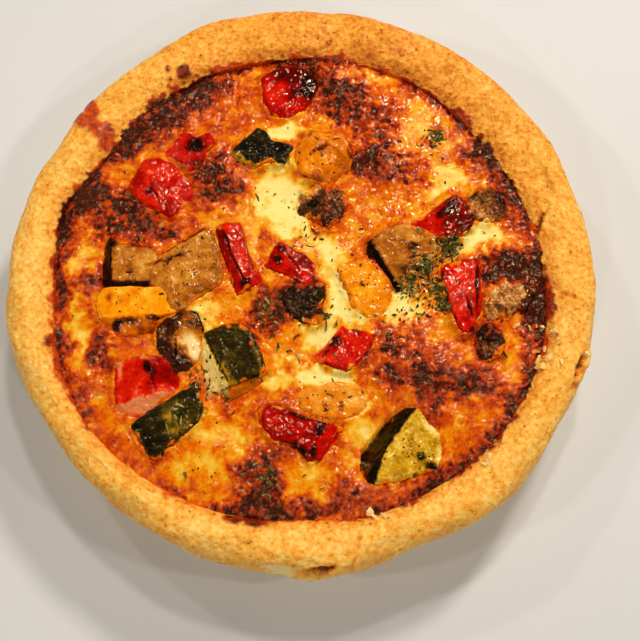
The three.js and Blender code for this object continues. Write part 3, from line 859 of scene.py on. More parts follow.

# %% Where a piece bends down to another face
# The face lies to the right of a line from pixel to pixel, seen along it. Then come the fall,
# in millimetres a millimetre, and the change of tone. The change is partly the real colour
# of skin or flesh on the bent face, and partly painted shade on faces turned from the light
# and painted light on faces turned to it.
CUTS = {
    "red_pepper_1": [(300, 70, 312, 112, 0.25, -0.08)],
    "red_pepper_2": [(150, 166, 160, 210, 0.25, -0.05), (136, 198, 150, 164, 0.4, -0.06)],
    "red_pepper_4": [(246, 284, 224, 232, 0.45, -0.10)],
    "red_pepper_5": [(288, 252, 300, 282, 0.25, -0.06)],
    "red_pepper_6": [(324, 362, 342, 328, 0.7, 0.08)],
    "red_pepper_7": [(326, 422, 318, 442, 0.25, 0.05)],
    "red_pepper_8": [(146, 358, 158, 396, 0.15, -0.12), (176, 388, 118, 404, 0.5, 0.34)],
    "red_pepper_9": [(440, 238, 450, 198, 0.2, 0.16), (442, 236, 412, 222, 0.6, 0.06)],
    "red_pepper_10": [(477, 262, 476, 314, 0.7, -0.04)],
    "yellow_pepper_1": [(349, 144, 322, 177, 0.4, -0.05)],
    "yellow_pepper_2": [(170, 314, 100, 318, 0.5, -0.34)],
    "yellow_pepper_3": [(386, 262, 392, 302, 0.5, -0.10)],
    "courgette_1": [(231, 390, 212, 352, 0.35, 0.60), (214, 352, 201, 336, 0.2, 0.30)],
    "courgette_3": [(375, 482, 386, 448, 0.9, -0.80), (386, 448, 416, 408, 0.9, -0.80),
                    (365, 480, 376, 444, 0.3, 0.24), (376, 444, 407, 406, 0.3, 0.24)],
    "courgette_4": [(256, 164, 234, 150, 0.8, 0.60)],
    "mushroom_1": [(324, 228, 328, 184, 0.5, -0.10), (332, 224, 296, 200, 0.4, -0.06)],
    "mushroom_3": [(516, 318, 510, 278, 0.2, 0.06), (530, 306, 484, 302, 0.25, -0.10)],
    "mushroom_5": [(492, 358, 490, 326, 0.4, -0.08)],
    "aubergine_1": [(112, 290, 112, 242, 1.0, -0.60), (152, 280, 102, 281, 0.9, -0.62)],
    "aubergine_2": [(158, 258, 206, 229, 0.8, -0.45)],
    "aubergine_3": [(402, 290, 371, 240, 1.0, -0.60)],
}
PIXEL_SIZE = DISTANCE / FOCAL
print("bent pieces:", len(CUTS), "and a pixel is about", round(PIXEL_SIZE, 2), "mm")

# %% Red peppers
# Each piece has its tone, the corners of its outline in pixels, marks (middle, half width,
# half height, turn, change of tone) and folds from pixel to pixel.
LOOKS = {
    "red_pepper_1": (
        0.50, [(262, 78), (272, 70), (290, 64), (310, 70), (319, 84), (312, 98), (304, 108), (288, 117),
               (273, 114), (265, 102)],
        [(274, 96, 10, 16, 0, 0.12), (296, 74, 22, 8, 0, -0.34), (308, 90, 6, 7, 0, -0.6),
         (312, 86, 8, 14, 0, -0.2), (296, 92, 5, 4, 0, -0.3)], [(300, 78, 308, 92)]),
    "red_pepper_2": (
        0.66, [(127, 185), (134, 173), (144, 160), (158, 158), (172, 163), (186, 175), (194, 186),
               (190, 199), (180, 208), (173, 218), (161, 212), (146, 205), (133, 196)],
        # The first mark is a painted highlight.
        [(158, 172, 16, 6, 20, 0.12), (142, 190, 12, 9, 30, -0.12), (170, 208, 7, 9, 0, -0.1),
         (150, 192, 3, 3, 0, -0.5)], [(150, 180, 160, 205)]),
    "red_pepper_3": (
        0.52, [(164, 151), (172, 143), (178, 131), (188, 131), (197, 137), (208, 132), (216, 142),
               (207, 151), (200, 166), (188, 172), (181, 162), (168, 159)],
        [(196, 145, 8, 6, 0, -0.75), (184, 137, 6, 5, 0, 0.14), (200, 137, 10, 4, 40, 0.12),
         (172, 152, 7, 6, 0, 0.14), (202, 168, 8, 8, 0, -0.3)], [(184, 148, 202, 152)]),
    "red_pepper_4": (
        0.54, [(216, 228), (224, 223), (240, 222), (246, 244), (252, 262), (262, 280), (248, 287),
               (237, 294), (232, 282), (226, 262), (219, 246)],
        [(222, 240, 5, 16, -15, -0.08), (240, 250, 5, 20, -15, 0.08), (246, 282, 5, 4, 0, -0.5),
         (230, 226, 8, 3, 0, 0.2)], [(222, 228, 232, 256), (232, 256, 246, 284)]),
    "red_pepper_5": (
        0.56, [(264, 264), (272, 250), (279, 241), (290, 246), (306, 254), (318, 262), (316, 272),
               (307, 285), (296, 280), (284, 273), (272, 269)],
        [(282, 249, 4, 3, 0, -0.6), (278, 259, 4, 4, 0, -0.5), (304, 262, 8, 6, 0, -0.14),
         (288, 266, 12, 5, 20, 0.12), (306, 276, 8, 5, 0, 0.1)], [(286, 254, 298, 268)]),
    "red_pepper_6": (
        0.62, [(312, 357), (321, 347), (332, 336), (341, 324), (351, 328), (366, 332), (373, 338),
               (367, 352), (358, 362), (346, 370), (333, 366), (321, 361)],
        [(336, 342, 4, 6, 30, -0.6), (326, 352, 4, 3, 0, -0.4), (324, 360, 10, 4, 20, 0.16),
         (333, 334, 6, 6, 0, 0.1), (358, 346, 8, 10, 0, 0.04)], [(340, 334, 322, 356)]),
    "red_pepper_7": (
        0.46, [(258, 409), (268, 405), (280, 406), (298, 413), (320, 420), (343, 425), (335, 440),
               (325, 452), (320, 461), (308, 460), (298, 449), (288, 443), (274, 438), (264, 428)],
        [(278, 420, 16, 10, 10, 0.06), (310, 417, 18, 3, 14, -0.7), (320, 430, 4, 5, 0, -0.6),
         (296, 447, 5, 4, 0, -0.6), (304, 453, 4, 4, 0, -0.5), (313, 452, 3, 5, 0, -0.6),
         (330, 432, 6, 9, 30, 0.08)], [(298, 414, 326, 423), (325, 424, 316, 440)]),
    "red_pepper_8": (
        0.70, [(117, 364), (130, 360), (148, 357), (166, 358), (173, 368), (179, 378), (177, 389),
               (164, 397), (156, 409), (142, 417), (128, 413), (117, 407), (115, 388)],
        # The first mark is painted shade in a fold.
        [(147, 366, 3, 5, 0, -0.7), (160, 372, 14, 9, 20, -0.14), (132, 380, 10, 16, 10, 0.06),
         (142, 407, 17, 8, -25, 0.36), (162, 390, 8, 6, -20, 0.26), (120, 368, 3, 12, 0, 0.2),
         (152, 380, 4, 9, 0, -0.2)], [(148, 362, 156, 392)]),
    "red_pepper_9": (
        0.38, [(410, 222), (422, 216), (436, 206), (450, 196), (457, 194), (467, 203), (475, 213),
               (471, 226), (462, 235), (452, 242), (436, 237), (420, 231)],
        # The first mark is a painted highlight.
        [(426, 220, 14, 7, -30, 0.06), (430, 234, 9, 3, 20, 0.30), (448, 208, 8, 5, -40, -0.50),
         (440, 216, 3, 3, 0, -0.5), (464, 220, 8, 10, 0, -0.10)], [(438, 214, 456, 199)]),
    "red_pepper_10": (
        0.62, [(442, 266), (456, 260), (470, 259), (480, 262), (482, 280), (483, 300), (480, 314),
               (475, 319), (474, 330), (463, 331), (456, 322), (451, 306), (446, 292), (442, 278)],
        # The first two marks are painted highlights.
        [(458, 272, 8, 8, 0, 0.10), (458, 306, 6, 8, 0, 0.12), (477, 282, 2, 18, 0, -0.4),
         (470, 308, 3, 10, 10, -0.2), (457, 281, 2, 2, 0, -0.5)],
        [(477, 266, 476, 312), (466, 296, 472, 318)]),
}
print("red peppers:", len(LOOKS))

# %% Yellow peppers and courgettes, in the same way
LOOKS |= {
    "yellow_pepper_1": (
        0.52, [(299, 143), (309, 132), (326, 135), (342, 136), (352, 152), (350, 168), (341, 174),
               (331, 182), (314, 178), (301, 172), (295, 157)],
        [(318, 150, 8, 2, -30, -0.3), (318, 162, 12, 8, 0, 0.14), (342, 160, 6, 14, 0, -0.10),
         (308, 133, 6, 4, 0, -0.4), (322, 134, 16, 3, 0, 0.12), (351, 150, 3, 5, 0, -0.6),
         (318, 175, 14, 4, 0, -0.12)], [(312, 153, 328, 145)]),
    "yellow_pepper_2": (
        0.78, [(97, 301), (104, 289), (130, 287), (162, 288), (172, 296), (177, 311), (158, 318),
               (152, 330), (120, 334), (108, 326), (99, 316)],
        [(118, 322, 5, 3, -30, -0.8), (131, 320, 4, 2, 0, -0.7),
         (153, 317, 6, 2, 10, -0.7), (110, 298, 3, 5, 0, -0.5), (115, 327, 3, 4, 0, -0.7)], []),
    "yellow_pepper_3": (
        0.64, [(338, 268), (350, 262), (364, 257), (378, 263), (386, 274), (396, 286), (391, 298),
               (384, 311), (368, 317), (353, 306), (349, 294), (343, 281)],
        [(356, 270, 12, 8, 0, 0.02), (388, 284, 8, 20, -15, -0.10), (366, 288, 12, 8, 0, 0.08)], []),
    "courgette_1": (
        0.22, [(199, 336), (212, 329), (226, 325), (241, 324), (252, 334), (259, 350), (265, 368),
               (258, 375), (244, 380), (230, 386), (214, 393), (205, 399), (202, 380), (199, 356)],
        [(256, 352, 2, 18, -20, 0.26), (232, 350, 6, 10, 0, 0.06), (240, 366, 6, 5, 0, 0.12)],
        [(205, 338, 228, 382)]),
    "courgette_2": (
        0.20, [(131, 425), (150, 410), (170, 398), (188, 387), (197, 381), (200, 396), (203, 410),
               (196, 424), (181, 436), (167, 448), (156, 460), (149, 454), (141, 440)],
        [(168, 412, 6, 16, -20, 0.26), (184, 424, 10, 6, -30, 0.24), (178, 404, 5, 6, 0, 0.14),
         (172, 434, 7, 6, 0, 0.26), (146, 434, 10, 20, -40, -0.14), (192, 398, 6, 14, 0, 0.05)], []),
    "courgette_3": (
        0.70, [(419, 409), (426, 419), (440, 434), (442, 450), (438, 467), (420, 474), (398, 481),
               (376, 484), (366, 480), (361, 467), (362, 450), (374, 434), (388, 418), (404, 406)],
        [(421, 456, 4, 4, 0, -0.6), (432, 467, 7, 4, 30, -0.8),
         (432, 428, 5, 9, -40, 0.26), (439, 456, 3, 10, 0, 0.24), (394, 446, 6, 24, 42, 0.08)],
        []),
    "courgette_4": (
        0.06, [(231, 153), (240, 142), (250, 134), (258, 127), (265, 130), (271, 139), (280, 142),
               (293, 147), (287, 156), (286, 163), (270, 162), (256, 168), (246, 165), (236, 159)],
        [(258, 130, 3, 5, 0, 0.18), (282, 160, 8, 3, 0, 0.2)], [(262, 138, 276, 158)]),
}
print("pieces with the yellow peppers and courgettes:", len(LOOKS))

# %% Aubergines, mushrooms and onions
LOOKS |= {
    "aubergine_1": (
        0.60, [(101, 262), (104, 246), (110, 239), (120, 244), (140, 248), (156, 251), (160, 263),
               (153, 276), (151, 289), (130, 292), (112, 290), (100, 283)],
        [(112, 243, 7, 3, 0, -0.5), (146, 258, 12, 8, 0, 0.12), (150, 264, 5, 1.5, -20, -0.3)], []),
    "aubergine_2": (
        0.58, [(151, 268), (159, 257), (171, 249), (187, 239), (203, 229), (211, 232), (217, 246),
               (221, 262), (222, 280), (212, 288), (198, 296), (184, 307), (172, 309), (165, 296),
               (158, 287), (152, 283)],
        [(164, 250, 6, 3, -40, 0.7), (190, 270, 26, 16, -20, 0.04),
         (196, 292, 18, 8, -30, -0.16), (180, 254, 4, 2, 0, -0.4), (160, 262, 9, 1.5, -15, -0.3),
         (217, 250, 4, 20, 0, -0.12)], [(158, 262, 180, 254)]),
    "aubergine_3": (
        0.54, [(363, 246), (372, 240), (384, 232), (400, 225), (420, 229), (436, 237), (441, 249),
               (434, 260), (418, 268), (403, 272), (401, 288), (393, 290), (382, 276), (371, 259)],
        [(411, 247, 8, 4, 0, -0.35), (404, 238, 18, 5, 0, 0.12), (424, 258, 10, 4, -10, 0.06),
         (418, 266, 16, 3, -10, -0.2)], [(400, 240, 420, 246), (406, 258, 430, 254)]),
    "aubergine_4": (
        0.20, [(157, 328), (170, 315), (186, 309), (198, 312), (203, 326), (203, 344), (198, 360),
               (188, 369), (176, 371), (166, 362), (158, 347)],
        [(190, 342, 13, 11, 40, 0.74), (198, 354, 7, 10, 0, 0.72), (192, 318, 8, 4, 0, 0.20),
         (184, 360, 10, 6, 0, -0.05), (184, 348, 4, 3, 0, -0.2)], [(176, 336, 176, 356)]),
    "mushroom_1": (
        0.46, [(295, 201), (301, 188), (312, 181), (326, 183), (341, 188), (347, 198), (345, 210),
               (338, 220), (328, 227), (318, 221), (308, 215), (298, 209)],
        [(306, 193, 12, 6, -30, 0.36), (318, 187, 10, 5, -10, 0.34), (326, 198, 6, 4, -30, 0.16),
         (312, 201, 5, 3, 20, -0.40), (332, 212, 8, 8, 0, -0.06)], []),
    "mushroom_2": (
        0.24, [(283, 297), (290, 288), (302, 283), (312, 287), (319, 283), (325, 286), (324, 298),
               (320, 308), (327, 318), (316, 323), (304, 321), (294, 317), (285, 307)],
        [(296, 306, 7, 6, 0, 0.14), (310, 320, 10, 3, 0, 0.16), (300, 292, 8, 4, 0, -0.02)],
        [(292, 296, 318, 300), (300, 312, 320, 306)]),
    "mushroom_3": (
        0.76, [(485, 291), (490, 280), (498, 283), (504, 276), (514, 281), (522, 279), (527, 287),
               (534, 292), (528, 300), (525, 309), (514, 312), (510, 319), (498, 317), (488, 319),
               (483, 305)],
        [(526, 294, 6, 5, 0, 0.14), (500, 300, 12, 10, 0, -0.04), (504, 312, 4, 5, 0, -0.4),
         (516, 286, 6, 4, 0, 0.10), (486, 298, 4, 12, 0, -0.25)], []),
    "mushroom_4": (
        0.60, [(467, 205), (472, 195), (482, 189), (494, 191), (505, 198), (507, 210), (499, 219),
               (486, 221), (474, 218)],
        [(486, 208, 10, 8, 0, 0.10), (502, 200, 6, 10, 0, -0.40), (476, 192, 8, 4, 0, -0.2),
         (480, 214, 5, 4, 0, 0.22)], []),
    "mushroom_5": (
        0.38, [(476, 336), (484, 323), (494, 325), (501, 332), (505, 344), (500, 355), (490, 361),
               (480, 357), (476, 347)],
        [(484, 330, 8, 7, 0, -0.12), (492, 350, 8, 7, 0, 0.20), (482, 346, 5, 5, 0, 0.1)],
        [(480, 338, 498, 342)]),
    "onion_1": (
        0.72, [(297, 394), (306, 386), (322, 382), (340, 380), (358, 384), (374, 390), (369, 402),
               (360, 412), (346, 418), (330, 418), (314, 415), (301, 407)],
        # The mark at 356, 402 is a painted highlight.
        [(310, 390, 10, 4, -20, -0.16), (330, 388, 22, 4, -4, 0.06), (344, 410, 22, 6, 0, -0.08),
         (356, 402, 8, 8, 0, 0.20), (326, 405, 3, 3, 0, -0.4), (341, 406, 2, 4, 0, -0.5)], []),
    "onion_2": (
        0.33, [(220, 396), (230, 385), (242, 379), (256, 376), (263, 379), (254, 388), (240, 395),
               (228, 401)],
        [(236, 388, 12, 3, -30, 0.12)], []),
}
print("pieces of vegetable in all:", len(LOOKS))

# %% Shape of a piece
RING_POINTS, RINGS = 132, 20
# Reach and drop of the rings that go round the edge and down
EDGE_RINGS = [(1.0, -0.5), (1.02, -1.1), (1.02, -1.9), (0.99, -3.0), (0.93, -4.4)]
CRISPNESS, PIECE_LEVEL, ROOT_DEPTH = 0.6, 38, 3


def upper_plane(node):
    """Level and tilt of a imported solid's upper face, as a, b, c of z = a x + b y + c."""
    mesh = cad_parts[node].data
    up = [c for p in mesh.polygons if p.normal.z > 0.8 for c in p.vertices]
    corners = np.array([mesh.vertices[c].co for c in up]) / MM
    flat = np.column_stack([corners[:, :2], np.ones(len(up))])
    return np.linalg.lstsq(flat, corners[:, 2], rcond=None)[0]


def smooth_loop(corners, count):
    """A closed curve through corners, part straight and part smooth, as evenly spaced points."""
    corners = np.array(corners, float)
    share = np.linspace(0, 1, 12, endpoint=False)[:, None]
    before, after, beyond = (np.roll(corners, shift, 0) for shift in (1, -1, -2))
    straight = [start + share * (end - start) for start, end in zip(corners, after)]
    bent = [between(*four, share) for four in zip(before, corners, after, beyond)]
    curve = CRISPNESS * np.vstack(straight) + (1 - CRISPNESS) * np.vstack(bent)
    curve = np.vstack([curve, curve[:1]])
    run = np.concatenate([[0], np.cumsum(np.linalg.norm(np.diff(curve, axis=0), axis=1))])
    even = np.linspace(0, run[-1], count, endpoint=False)
    return np.column_stack([np.interp(even, run, curve[:, k]) for k in (0, 1)])


def slab(node, outline):
    """Points and faces of a piece, and how far out each point lies, where 1 is the edge."""
    a, b, c = upper_plane(node)
    corners = smooth_loop(outline[::-1], RING_POINTS)
    loop = np.array([photo_spot(px, py, PIECE_LEVEL) for px, py in corners])
    middle = loop.mean(0)
    rings = [(math.sin(math.pi / 2 * (k + 1) / (RINGS + 1)), 0) for k in range(RINGS)]
    rows = []
    for reach, drop in rings + EDGE_RINGS:
        spot = middle + reach * (loop - middle)
        rounded = -0.5 * smooth(0.86, 1.0, reach) ** 2 if drop == 0 else drop
        rows.append(np.column_stack([spot, spot @ (a, b) + c + rounded]))
    hubs = [[*middle, middle @ (a, b) + c], [*middle, FILL_LEVEL - ROOT_DEPTH]]
    first, hub = np.arange(RING_POINTS), len(rows) * RING_POINTS
    last = first + hub - RING_POINTS
    faces = np.vstack([halved(tube(len(rows), RING_POINTS)), fan(hub, first), fan(hub + 1, last[::-1])])
    reach = np.repeat([r + (d < 0) * 0.02 - d * 0.02 for r, d in rings + EDGE_RINGS], RING_POINTS)
    return np.vstack([*rows, hubs]), faces, np.append(reach, [0, 1.2])


# %% Finish of a piece
def vegetable_finish(kind, look):
    recipe = Recipe(kind)
    tone, fine = recipe.painted("tone"), recipe.grain(0.9, 3) - 0.5
    soft = recipe.grain(3, 2) - 0.5
    shade = (tone + fine * (0.2 + look["fine"] * 2) + soft * 0.45).clamped()
    bare = recipe.ramp(shade, look["colors"])
    covered = recipe.ramp((recipe.painted("bake") + fine * 0.6).clamped(), BAKE_COLORS)
    return recipe.finish(
        Base_Color=recipe.mix(recipe.painted("film"), bare, covered),
        Roughness=look["rough"],
        Normal=recipe.bump(recipe.grain(1.2 + look["size"] * 0.22, 1), 0.17 + look["fine"] * 1.2),
        Specular_IOR_Level=0.20,
        Specular_Tint=(1.0, 0.86, 0.66, 1.0),
    )


finishes = {kind: vegetable_finish(kind, look) for kind, look in KINDS.items()}
print("vegetable finishes:", len(finishes))


# %% Marks, bends, folds and wrinkles of a piece
FOLD_WIDTH, LIP_WIDTH, FOLD_DEPTH, FOLD_LIP = 1.1, 3.5, 0.5, 0.35
# Tone changes: painted shade in a fold's groove, painted light on its lips, and char near the edge
FOLD_PAINTED_SHADE, LIP_PAINTED_LIGHT, CHAR_DARKER = 0.45, 0.08, 0.4


def lines_near(px, py, rows, width):
    return sum((near_line(px, py, row, width) for row in rows), np.zeros(len(px)))


def vegetable(node, number, look, tone, outline, marks, folds):
    """Points, faces and paint of a piece. Each noise has a seed of its own for each piece."""
    points, faces, reach = slab(node, outline)
    px, py = photo_pixel(points)
    fray = 1.6 * wobble(points, 2.2, 160 + number)
    shade = tone + 0.16 * wobble(points, 4.5, 120 + number)
    # Marks: char, flesh and skin, and a few painted highlights and painted shade
    for row in marks:
        shade += row[5] * np.exp(-PATCH_FALL * oval(px, py, row, fray) ** 3)
    fall = np.zeros(len(points))
    for x0, y0, x1, y1, slope, change in CUTS.get(node, []):
        past = ((px - x0) * (y1 - y0) - (py - y0) * (x1 - x0)) / math.hypot(x1 - x0, y1 - y0)
        fall += slope * PIXEL_SIZE * np.clip(past, 0, None)
        # The change of tone: skin or flesh colour, and on some faces painted light and shade
        shade += change * smooth(-1, 1.5, past + fray)
    points[:, 2] -= fall
    fold = lines_near(px + fray, py + fray, folds, FOLD_WIDTH)
    lip = lines_near(px, py, folds, LIP_WIDTH) - fold
    # Painted shade in the fold's groove and painted light on its lips
    shade += LIP_PAINTED_LIGHT * lip - FOLD_PAINTED_SHADE * fold
    shrivel = look["wrinkle"] * wobble(points, look["size"], 40 + number, 2)
    shrivel += look["fine"] * 1.6 * (creases(points, 1.8, 80 + number) - 0.5)
    shrivel += smooth(1.05, 0.9, reach) * (FOLD_LIP * lip - FOLD_DEPTH * fold)
    points = points + normals_of(points, faces) * shrivel[:, None]
    char = smooth(0.35, 0.75, wobble(points, 3.2, 200 + number)) * smooth(0.8, 1.0, reach)
    lapping = 1.3 * wobble(points, 5, 240 + number) + smooth(0.75 - look["film"], 1.06, reach)
    film = smooth(0.3, 0.5, lapping - 0.85 + look["film"])
    far_from_rim = np.full(len(points), 99.0)
    return points, faces, {
        "tone": np.clip(shade - CHAR_DARKER * char, 0, 1), "film": film * (1 - char),
        "bake": np.clip(bake_at(points, reach, far_from_rim), 0, 1),
    }


# %% Make the vegetables
vegetable_points, vegetable_faces, offset = [], [], 0
for number, (node, (tone, outline, marks, folds)) in enumerate(LOOKS.items()):
    kind = node.rsplit("_", 1)[0]
    points, faces, paint = vegetable(node, number, KINDS[kind], tone, outline, marks, folds)
    add_piece(node + "_piece", points, faces, kind, finishes[kind], node, **paint)
    vegetable_points.append(points)
    vegetable_faces.append(faces + offset)
    offset += len(points)
print("vegetables:", len(LOOKS), "pieces,", offset, "points")

# %% [markdown]
# ## Settling the custard round the vegetables
# Custard climbs whatever it bakes against, so most edges of the vegetables hardly stand out.
# A Boolean would cut a hard edge, and a cloth or fluid run would be slow. Instead a ray
# dropped from above tells which points of the custard lie under a piece, and these stay below
# it. The others look up the nearest edge point in a tree, and rise most of the way to its
# height. Noise leaves gaps, where an edge shows with its shadow.

# %% Settle the custard
# How far out it climbs, how far it may sink, and how deep it stays under a piece
CLIMB_REACH, DEEPEST, COVER, ABOVE_ALL = 2.4, -0.6, 0.4, 60.0
DOWN = Vector((0, 0, -1))
vegetable_tree = BVHTree.FromPolygons(
    np.vstack(vegetable_points).tolist(), np.vstack(vegetable_faces).tolist(), epsilon=0.0
)
edge = slice((RINGS - 1) * RING_POINTS, RINGS * RING_POINTS)
edge_points = np.vstack([points[edge] for points in vegetable_points])
edge_tree = KDTree(len(edge_points))
for i, (x, y, _) in enumerate(edge_points):
    edge_tree.insert((x, y, 0), i)
edge_tree.balance()
climbs = smooth(-0.55, 0.15, wobble(top, 4, 31))
under = 0
for i, point in enumerate(top):
    hit = vegetable_tree.ray_cast(Vector((point[0], point[1], ABOVE_ALL)), DOWN)[0]
    if hit is not None:
        top[i, 2] = min(point[2], hit[2] - COVER)
        under += 1
        continue
    nearest, away = edge_tree.find((point[0], point[1], 0))[1:]
    gap = max(edge_points[nearest, 2] - point[2], DEEPEST)
    top[i, 2] += climbs[i] * gap * math.exp(-((away / CLIMB_REACH) ** 2))
print("custard points under the vegetables:", under)

# %% Close the custard and make it
row = CUSTARD_STEPS + 1
low = (np.arange(CUSTARD_STEPS)[:, None] * row + np.arange(CUSTARD_STEPS)).ravel()
quads = [np.stack([low, low + 1, low + row + 1, low + row], 1)]
first, final = np.arange(row), (row - 1) * row + np.arange(row)
left, right = np.arange(row) * row, np.arange(row) * row + row - 1
border = np.concatenate([first[:-1], right[:-1], final[:0:-1], left[:0:-1]])
direction = angle[border]
skirt, above = [], border
for inset, height in [(-0.8, FILL_LEVEL - 5), (-5, FLOOR + 4), (-8, FLOOR + WALL_GAP)]:
    radius = custard_outline(direction) + inset
    x, y = radius * np.cos(direction), radius * np.sin(direction) + FILL_SHIFT
    below = len(top) + len(skirt) * len(border) + np.arange(len(border))
    skirt.append(np.stack([x, y, np.full(len(border), height)], 1))
    quads.append(np.stack([above, below, np.roll(below, -1), np.roll(above, -1)], 1))
    above = below
custard_points = np.vstack([top, *skirt, [[0, FILL_SHIFT, FLOOR + WALL_GAP]]])
custard_faces = np.vstack([halved(np.vstack(quads)), fan(len(custard_points) - 1, above[::-1])])
custard_bake = np.append(bake, np.full(len(custard_points) - len(top), BAKE_BASE))
add_piece("custard_top", custard_points, custard_faces, "custard", custard_material, "custard",
          bake=custard_bake)

# %% [markdown]
# ## Herbs, pepper and crumbs
# Dried herb, cracked pepper and pastry crumbs are small but they show from a step away, so
# they are real meshes at true size. A particle system would scatter them too, but its grains
# are only instances. Here each kind is one piece, joined from many small closed solids. A ray
# dropped on the finished top finds where each grain lands and how it lies. Their faces stay
# flat, because chopped herb and broken pastry have sharp edges.

# %% What grains are made of, and the surface they land on
surface_tree = BVHTree.FromPolygons(
    np.vstack([custard_points, crust, *vegetable_points]).tolist(),
    [*custard_faces.tolist(), *(crust_faces + len(custard_points)).tolist(),
     *(np.vstack(vegetable_faces) + len(custard_points) + len(crust)).tolist()], epsilon=0.0,
)
BALL = np.array([[1, 0, 0], [0, 1, 0], [-1, 0, 0], [0, -1, 0], [0, 0, 1], [0, 0, -1]], float)
BALL_FACES = np.array([
    [0, 1, 4], [1, 2, 4], [2, 3, 4], [3, 0, 4], [1, 0, 5], [2, 1, 5], [3, 2, 5], [0, 3, 5],
])
LEAF_TIP = 0.55
LEAF = np.array([
    [x, y * (1 - LEAF_TIP * abs(x)), z] for z in (-1, 1) for x in (-1, 0, 1) for y in (-1, 1)
], float)
LEAF_FACES = np.array([
    [0, 1, 3], [0, 3, 2], [2, 3, 5], [2, 5, 4], [6, 9, 7], [6, 8, 9], [8, 11, 9], [8, 10, 11],
    [0, 2, 8], [0, 8, 6], [2, 4, 10], [2, 10, 8], [1, 7, 9], [1, 9, 3], [3, 9, 11], [3, 11, 5],
    [0, 6, 7], [0, 7, 1], [4, 5, 11], [4, 11, 10],
])
TOP_LEVEL, STEEPEST = 37.5, 0.2
UNEVEN_GRAIN, CURL, LIE_HIGH = 0.3, 0.35, 0.6


# %% Scatter tools
def landing(px, py):
    """Where a grain dropped at a pixel comes to rest, and the slope there."""
    x, y = photo_spot(px, py, TOP_LEVEL)
    return surface_tree.ray_cast(Vector((x, y, ABOVE_ALL)), DOWN)[:2]


def scatter(name, spots, form, form_faces, size_of, lean, slot, material):
    """One piece joined from grains, each turned, leaned and sized by seeded draws."""
    points, faces, tones = [], [], []
    for px, py in spots:
        place, slope = landing(px, py)
        if place is None or slope.z < STEEPEST:
            continue
        size = size_of()
        turn, tip, tone = draw.random() * 2 * math.pi, draw.normal(0, lean, 2), draw.random()
        grain = form * size * (1 + UNEVEN_GRAIN * draw.normal(0, 1, form.shape).clip(-1.5, 1.5))
        grain[:, 2] += CURL * size[0] * (grain[:, 0] / size[0]) ** 2 * draw.normal(0, 0.5)
        up = Vector((slope.x + tip[0], slope.y + tip[1], slope.z)).normalized()
        lying = up.to_track_quat("Z", "Y").to_matrix()
        c, s = math.cos(turn), math.sin(turn)
        grain = grain @ np.array([[c, s, 0], [-s, c, 0], [0, 0, 1]]) @ np.array(lying).T
        faces.append(form_faces + len(form) * len(points))
        points.append(grain + np.array(place) + np.array(up) * size[2] * LIE_HIGH)
        tones.append(np.full(len(form), tone))
    tone = np.concatenate(tones)
    return add_piece(name, np.vstack(points), np.vstack(faces), slot, material, flat=True, tone=tone)


SPREAD_RADIUS, SPREAD_MIDDLE = 235, (303, 292)


def around(rows):
    """Pixels spread round each [px, py, spread, count]."""
    return [draw.normal((px, py), spread / 2) for px, py, spread, count in rows for _ in range(count)]


def all_over(count):
    """Pixels spread evenly over the custard."""
    radius, turn = SPREAD_RADIUS * np.sqrt(draw.random(count)), draw.random(count) * 2 * math.pi
    x, y = SPREAD_MIDDLE
    return [(x + r * math.cos(t), y + 0.95 * r * math.sin(t)) for r, t in zip(radius, turn)]


def grain_finish(name, stops, rough):
    recipe = Recipe(name)
    shade = (recipe.painted("tone") + (recipe.grain(0.6) - 0.5) * 0.4).clamped()
    color = recipe.ramp(shade, stops)
    return recipe.finish(Base_Color=color, Roughness=rough, Specular_IOR_Level=0.15)


# %% Dried herb: pinches at a pixel, with spread and count, and some all over
HERB_PINCHES = [
    (437, 134, 8, 60), (430, 146, 16, 14), (447, 249, 12, 100), (455, 243, 8, 40), (424, 268, 14, 110),
    (410, 284, 12, 90), (438, 286, 9, 60), (446, 304, 9, 44), (425, 305, 16, 26), (268, 314, 18, 50),
    (264, 300, 12, 10), (264, 474, 16, 24), (262, 488, 14, 12), (216, 372, 16, 16), (198, 376, 14, 16),
    (224, 396, 12, 8), (308, 236, 16, 12), (240, 158, 10, 8), (206, 166, 10, 8), (300, 306, 20, 14),
    (184, 412, 18, 22), (330, 318, 10, 6), (395, 318, 14, 8), (292, 346, 16, 8), (340, 388, 16, 6),
    (506, 308, 12, 8), (476, 200, 14, 8), (388, 332, 16, 8),
]
herb_material = grain_finish("dried_herb", [
    (0.0, (28, 27, 9)), (0.45, (74, 74, 28)), (0.8, (126, 118, 56)), (1.0, (196, 176, 106)),
], 0.4)


def herb_size():
    return np.array([draw.uniform(0.5, 1.6), draw.uniform(0.25, 0.65), 0.10])


herb_spots = around(HERB_PINCHES) + all_over(110)
scatter("herb_flakes", herb_spots, LEAF, LEAF_FACES, herb_size, 0.6, "herb", herb_material)

# %% Cracked pepper
PEPPERED = [
    (190, 272, 34, 60), (320, 152, 34, 46), (366, 286, 34, 26), (410, 450, 34, 46), (282, 200, 30, 22),
    (330, 290, 30, 18), (400, 302, 16, 8), (130, 305, 34, 14), (130, 262, 24, 10), (440, 140, 30, 20),
    (325, 395, 34, 22), (220, 480, 34, 14), (206, 320, 20, 8), (310, 215, 24, 14), (430, 250, 30, 20),
    (466, 300, 20, 6), (206, 380, 20, 10), (250, 350, 24, 6),
]
pepper_material = grain_finish("cracked_pepper", [
    (0.0, (10, 6, 4)), (0.7, (34, 20, 12)), (1.0, (84, 56, 36)),
], 0.5)


def pepper_size():
    return draw.uniform(0.16, 0.50) * np.array([1.0, 0.8, 0.6])


pepper_spots = around(PEPPERED) + all_over(260)
scatter("pepper_specks", pepper_spots, BALL, BALL_FACES, pepper_size, 0.3, "herb", pepper_material)

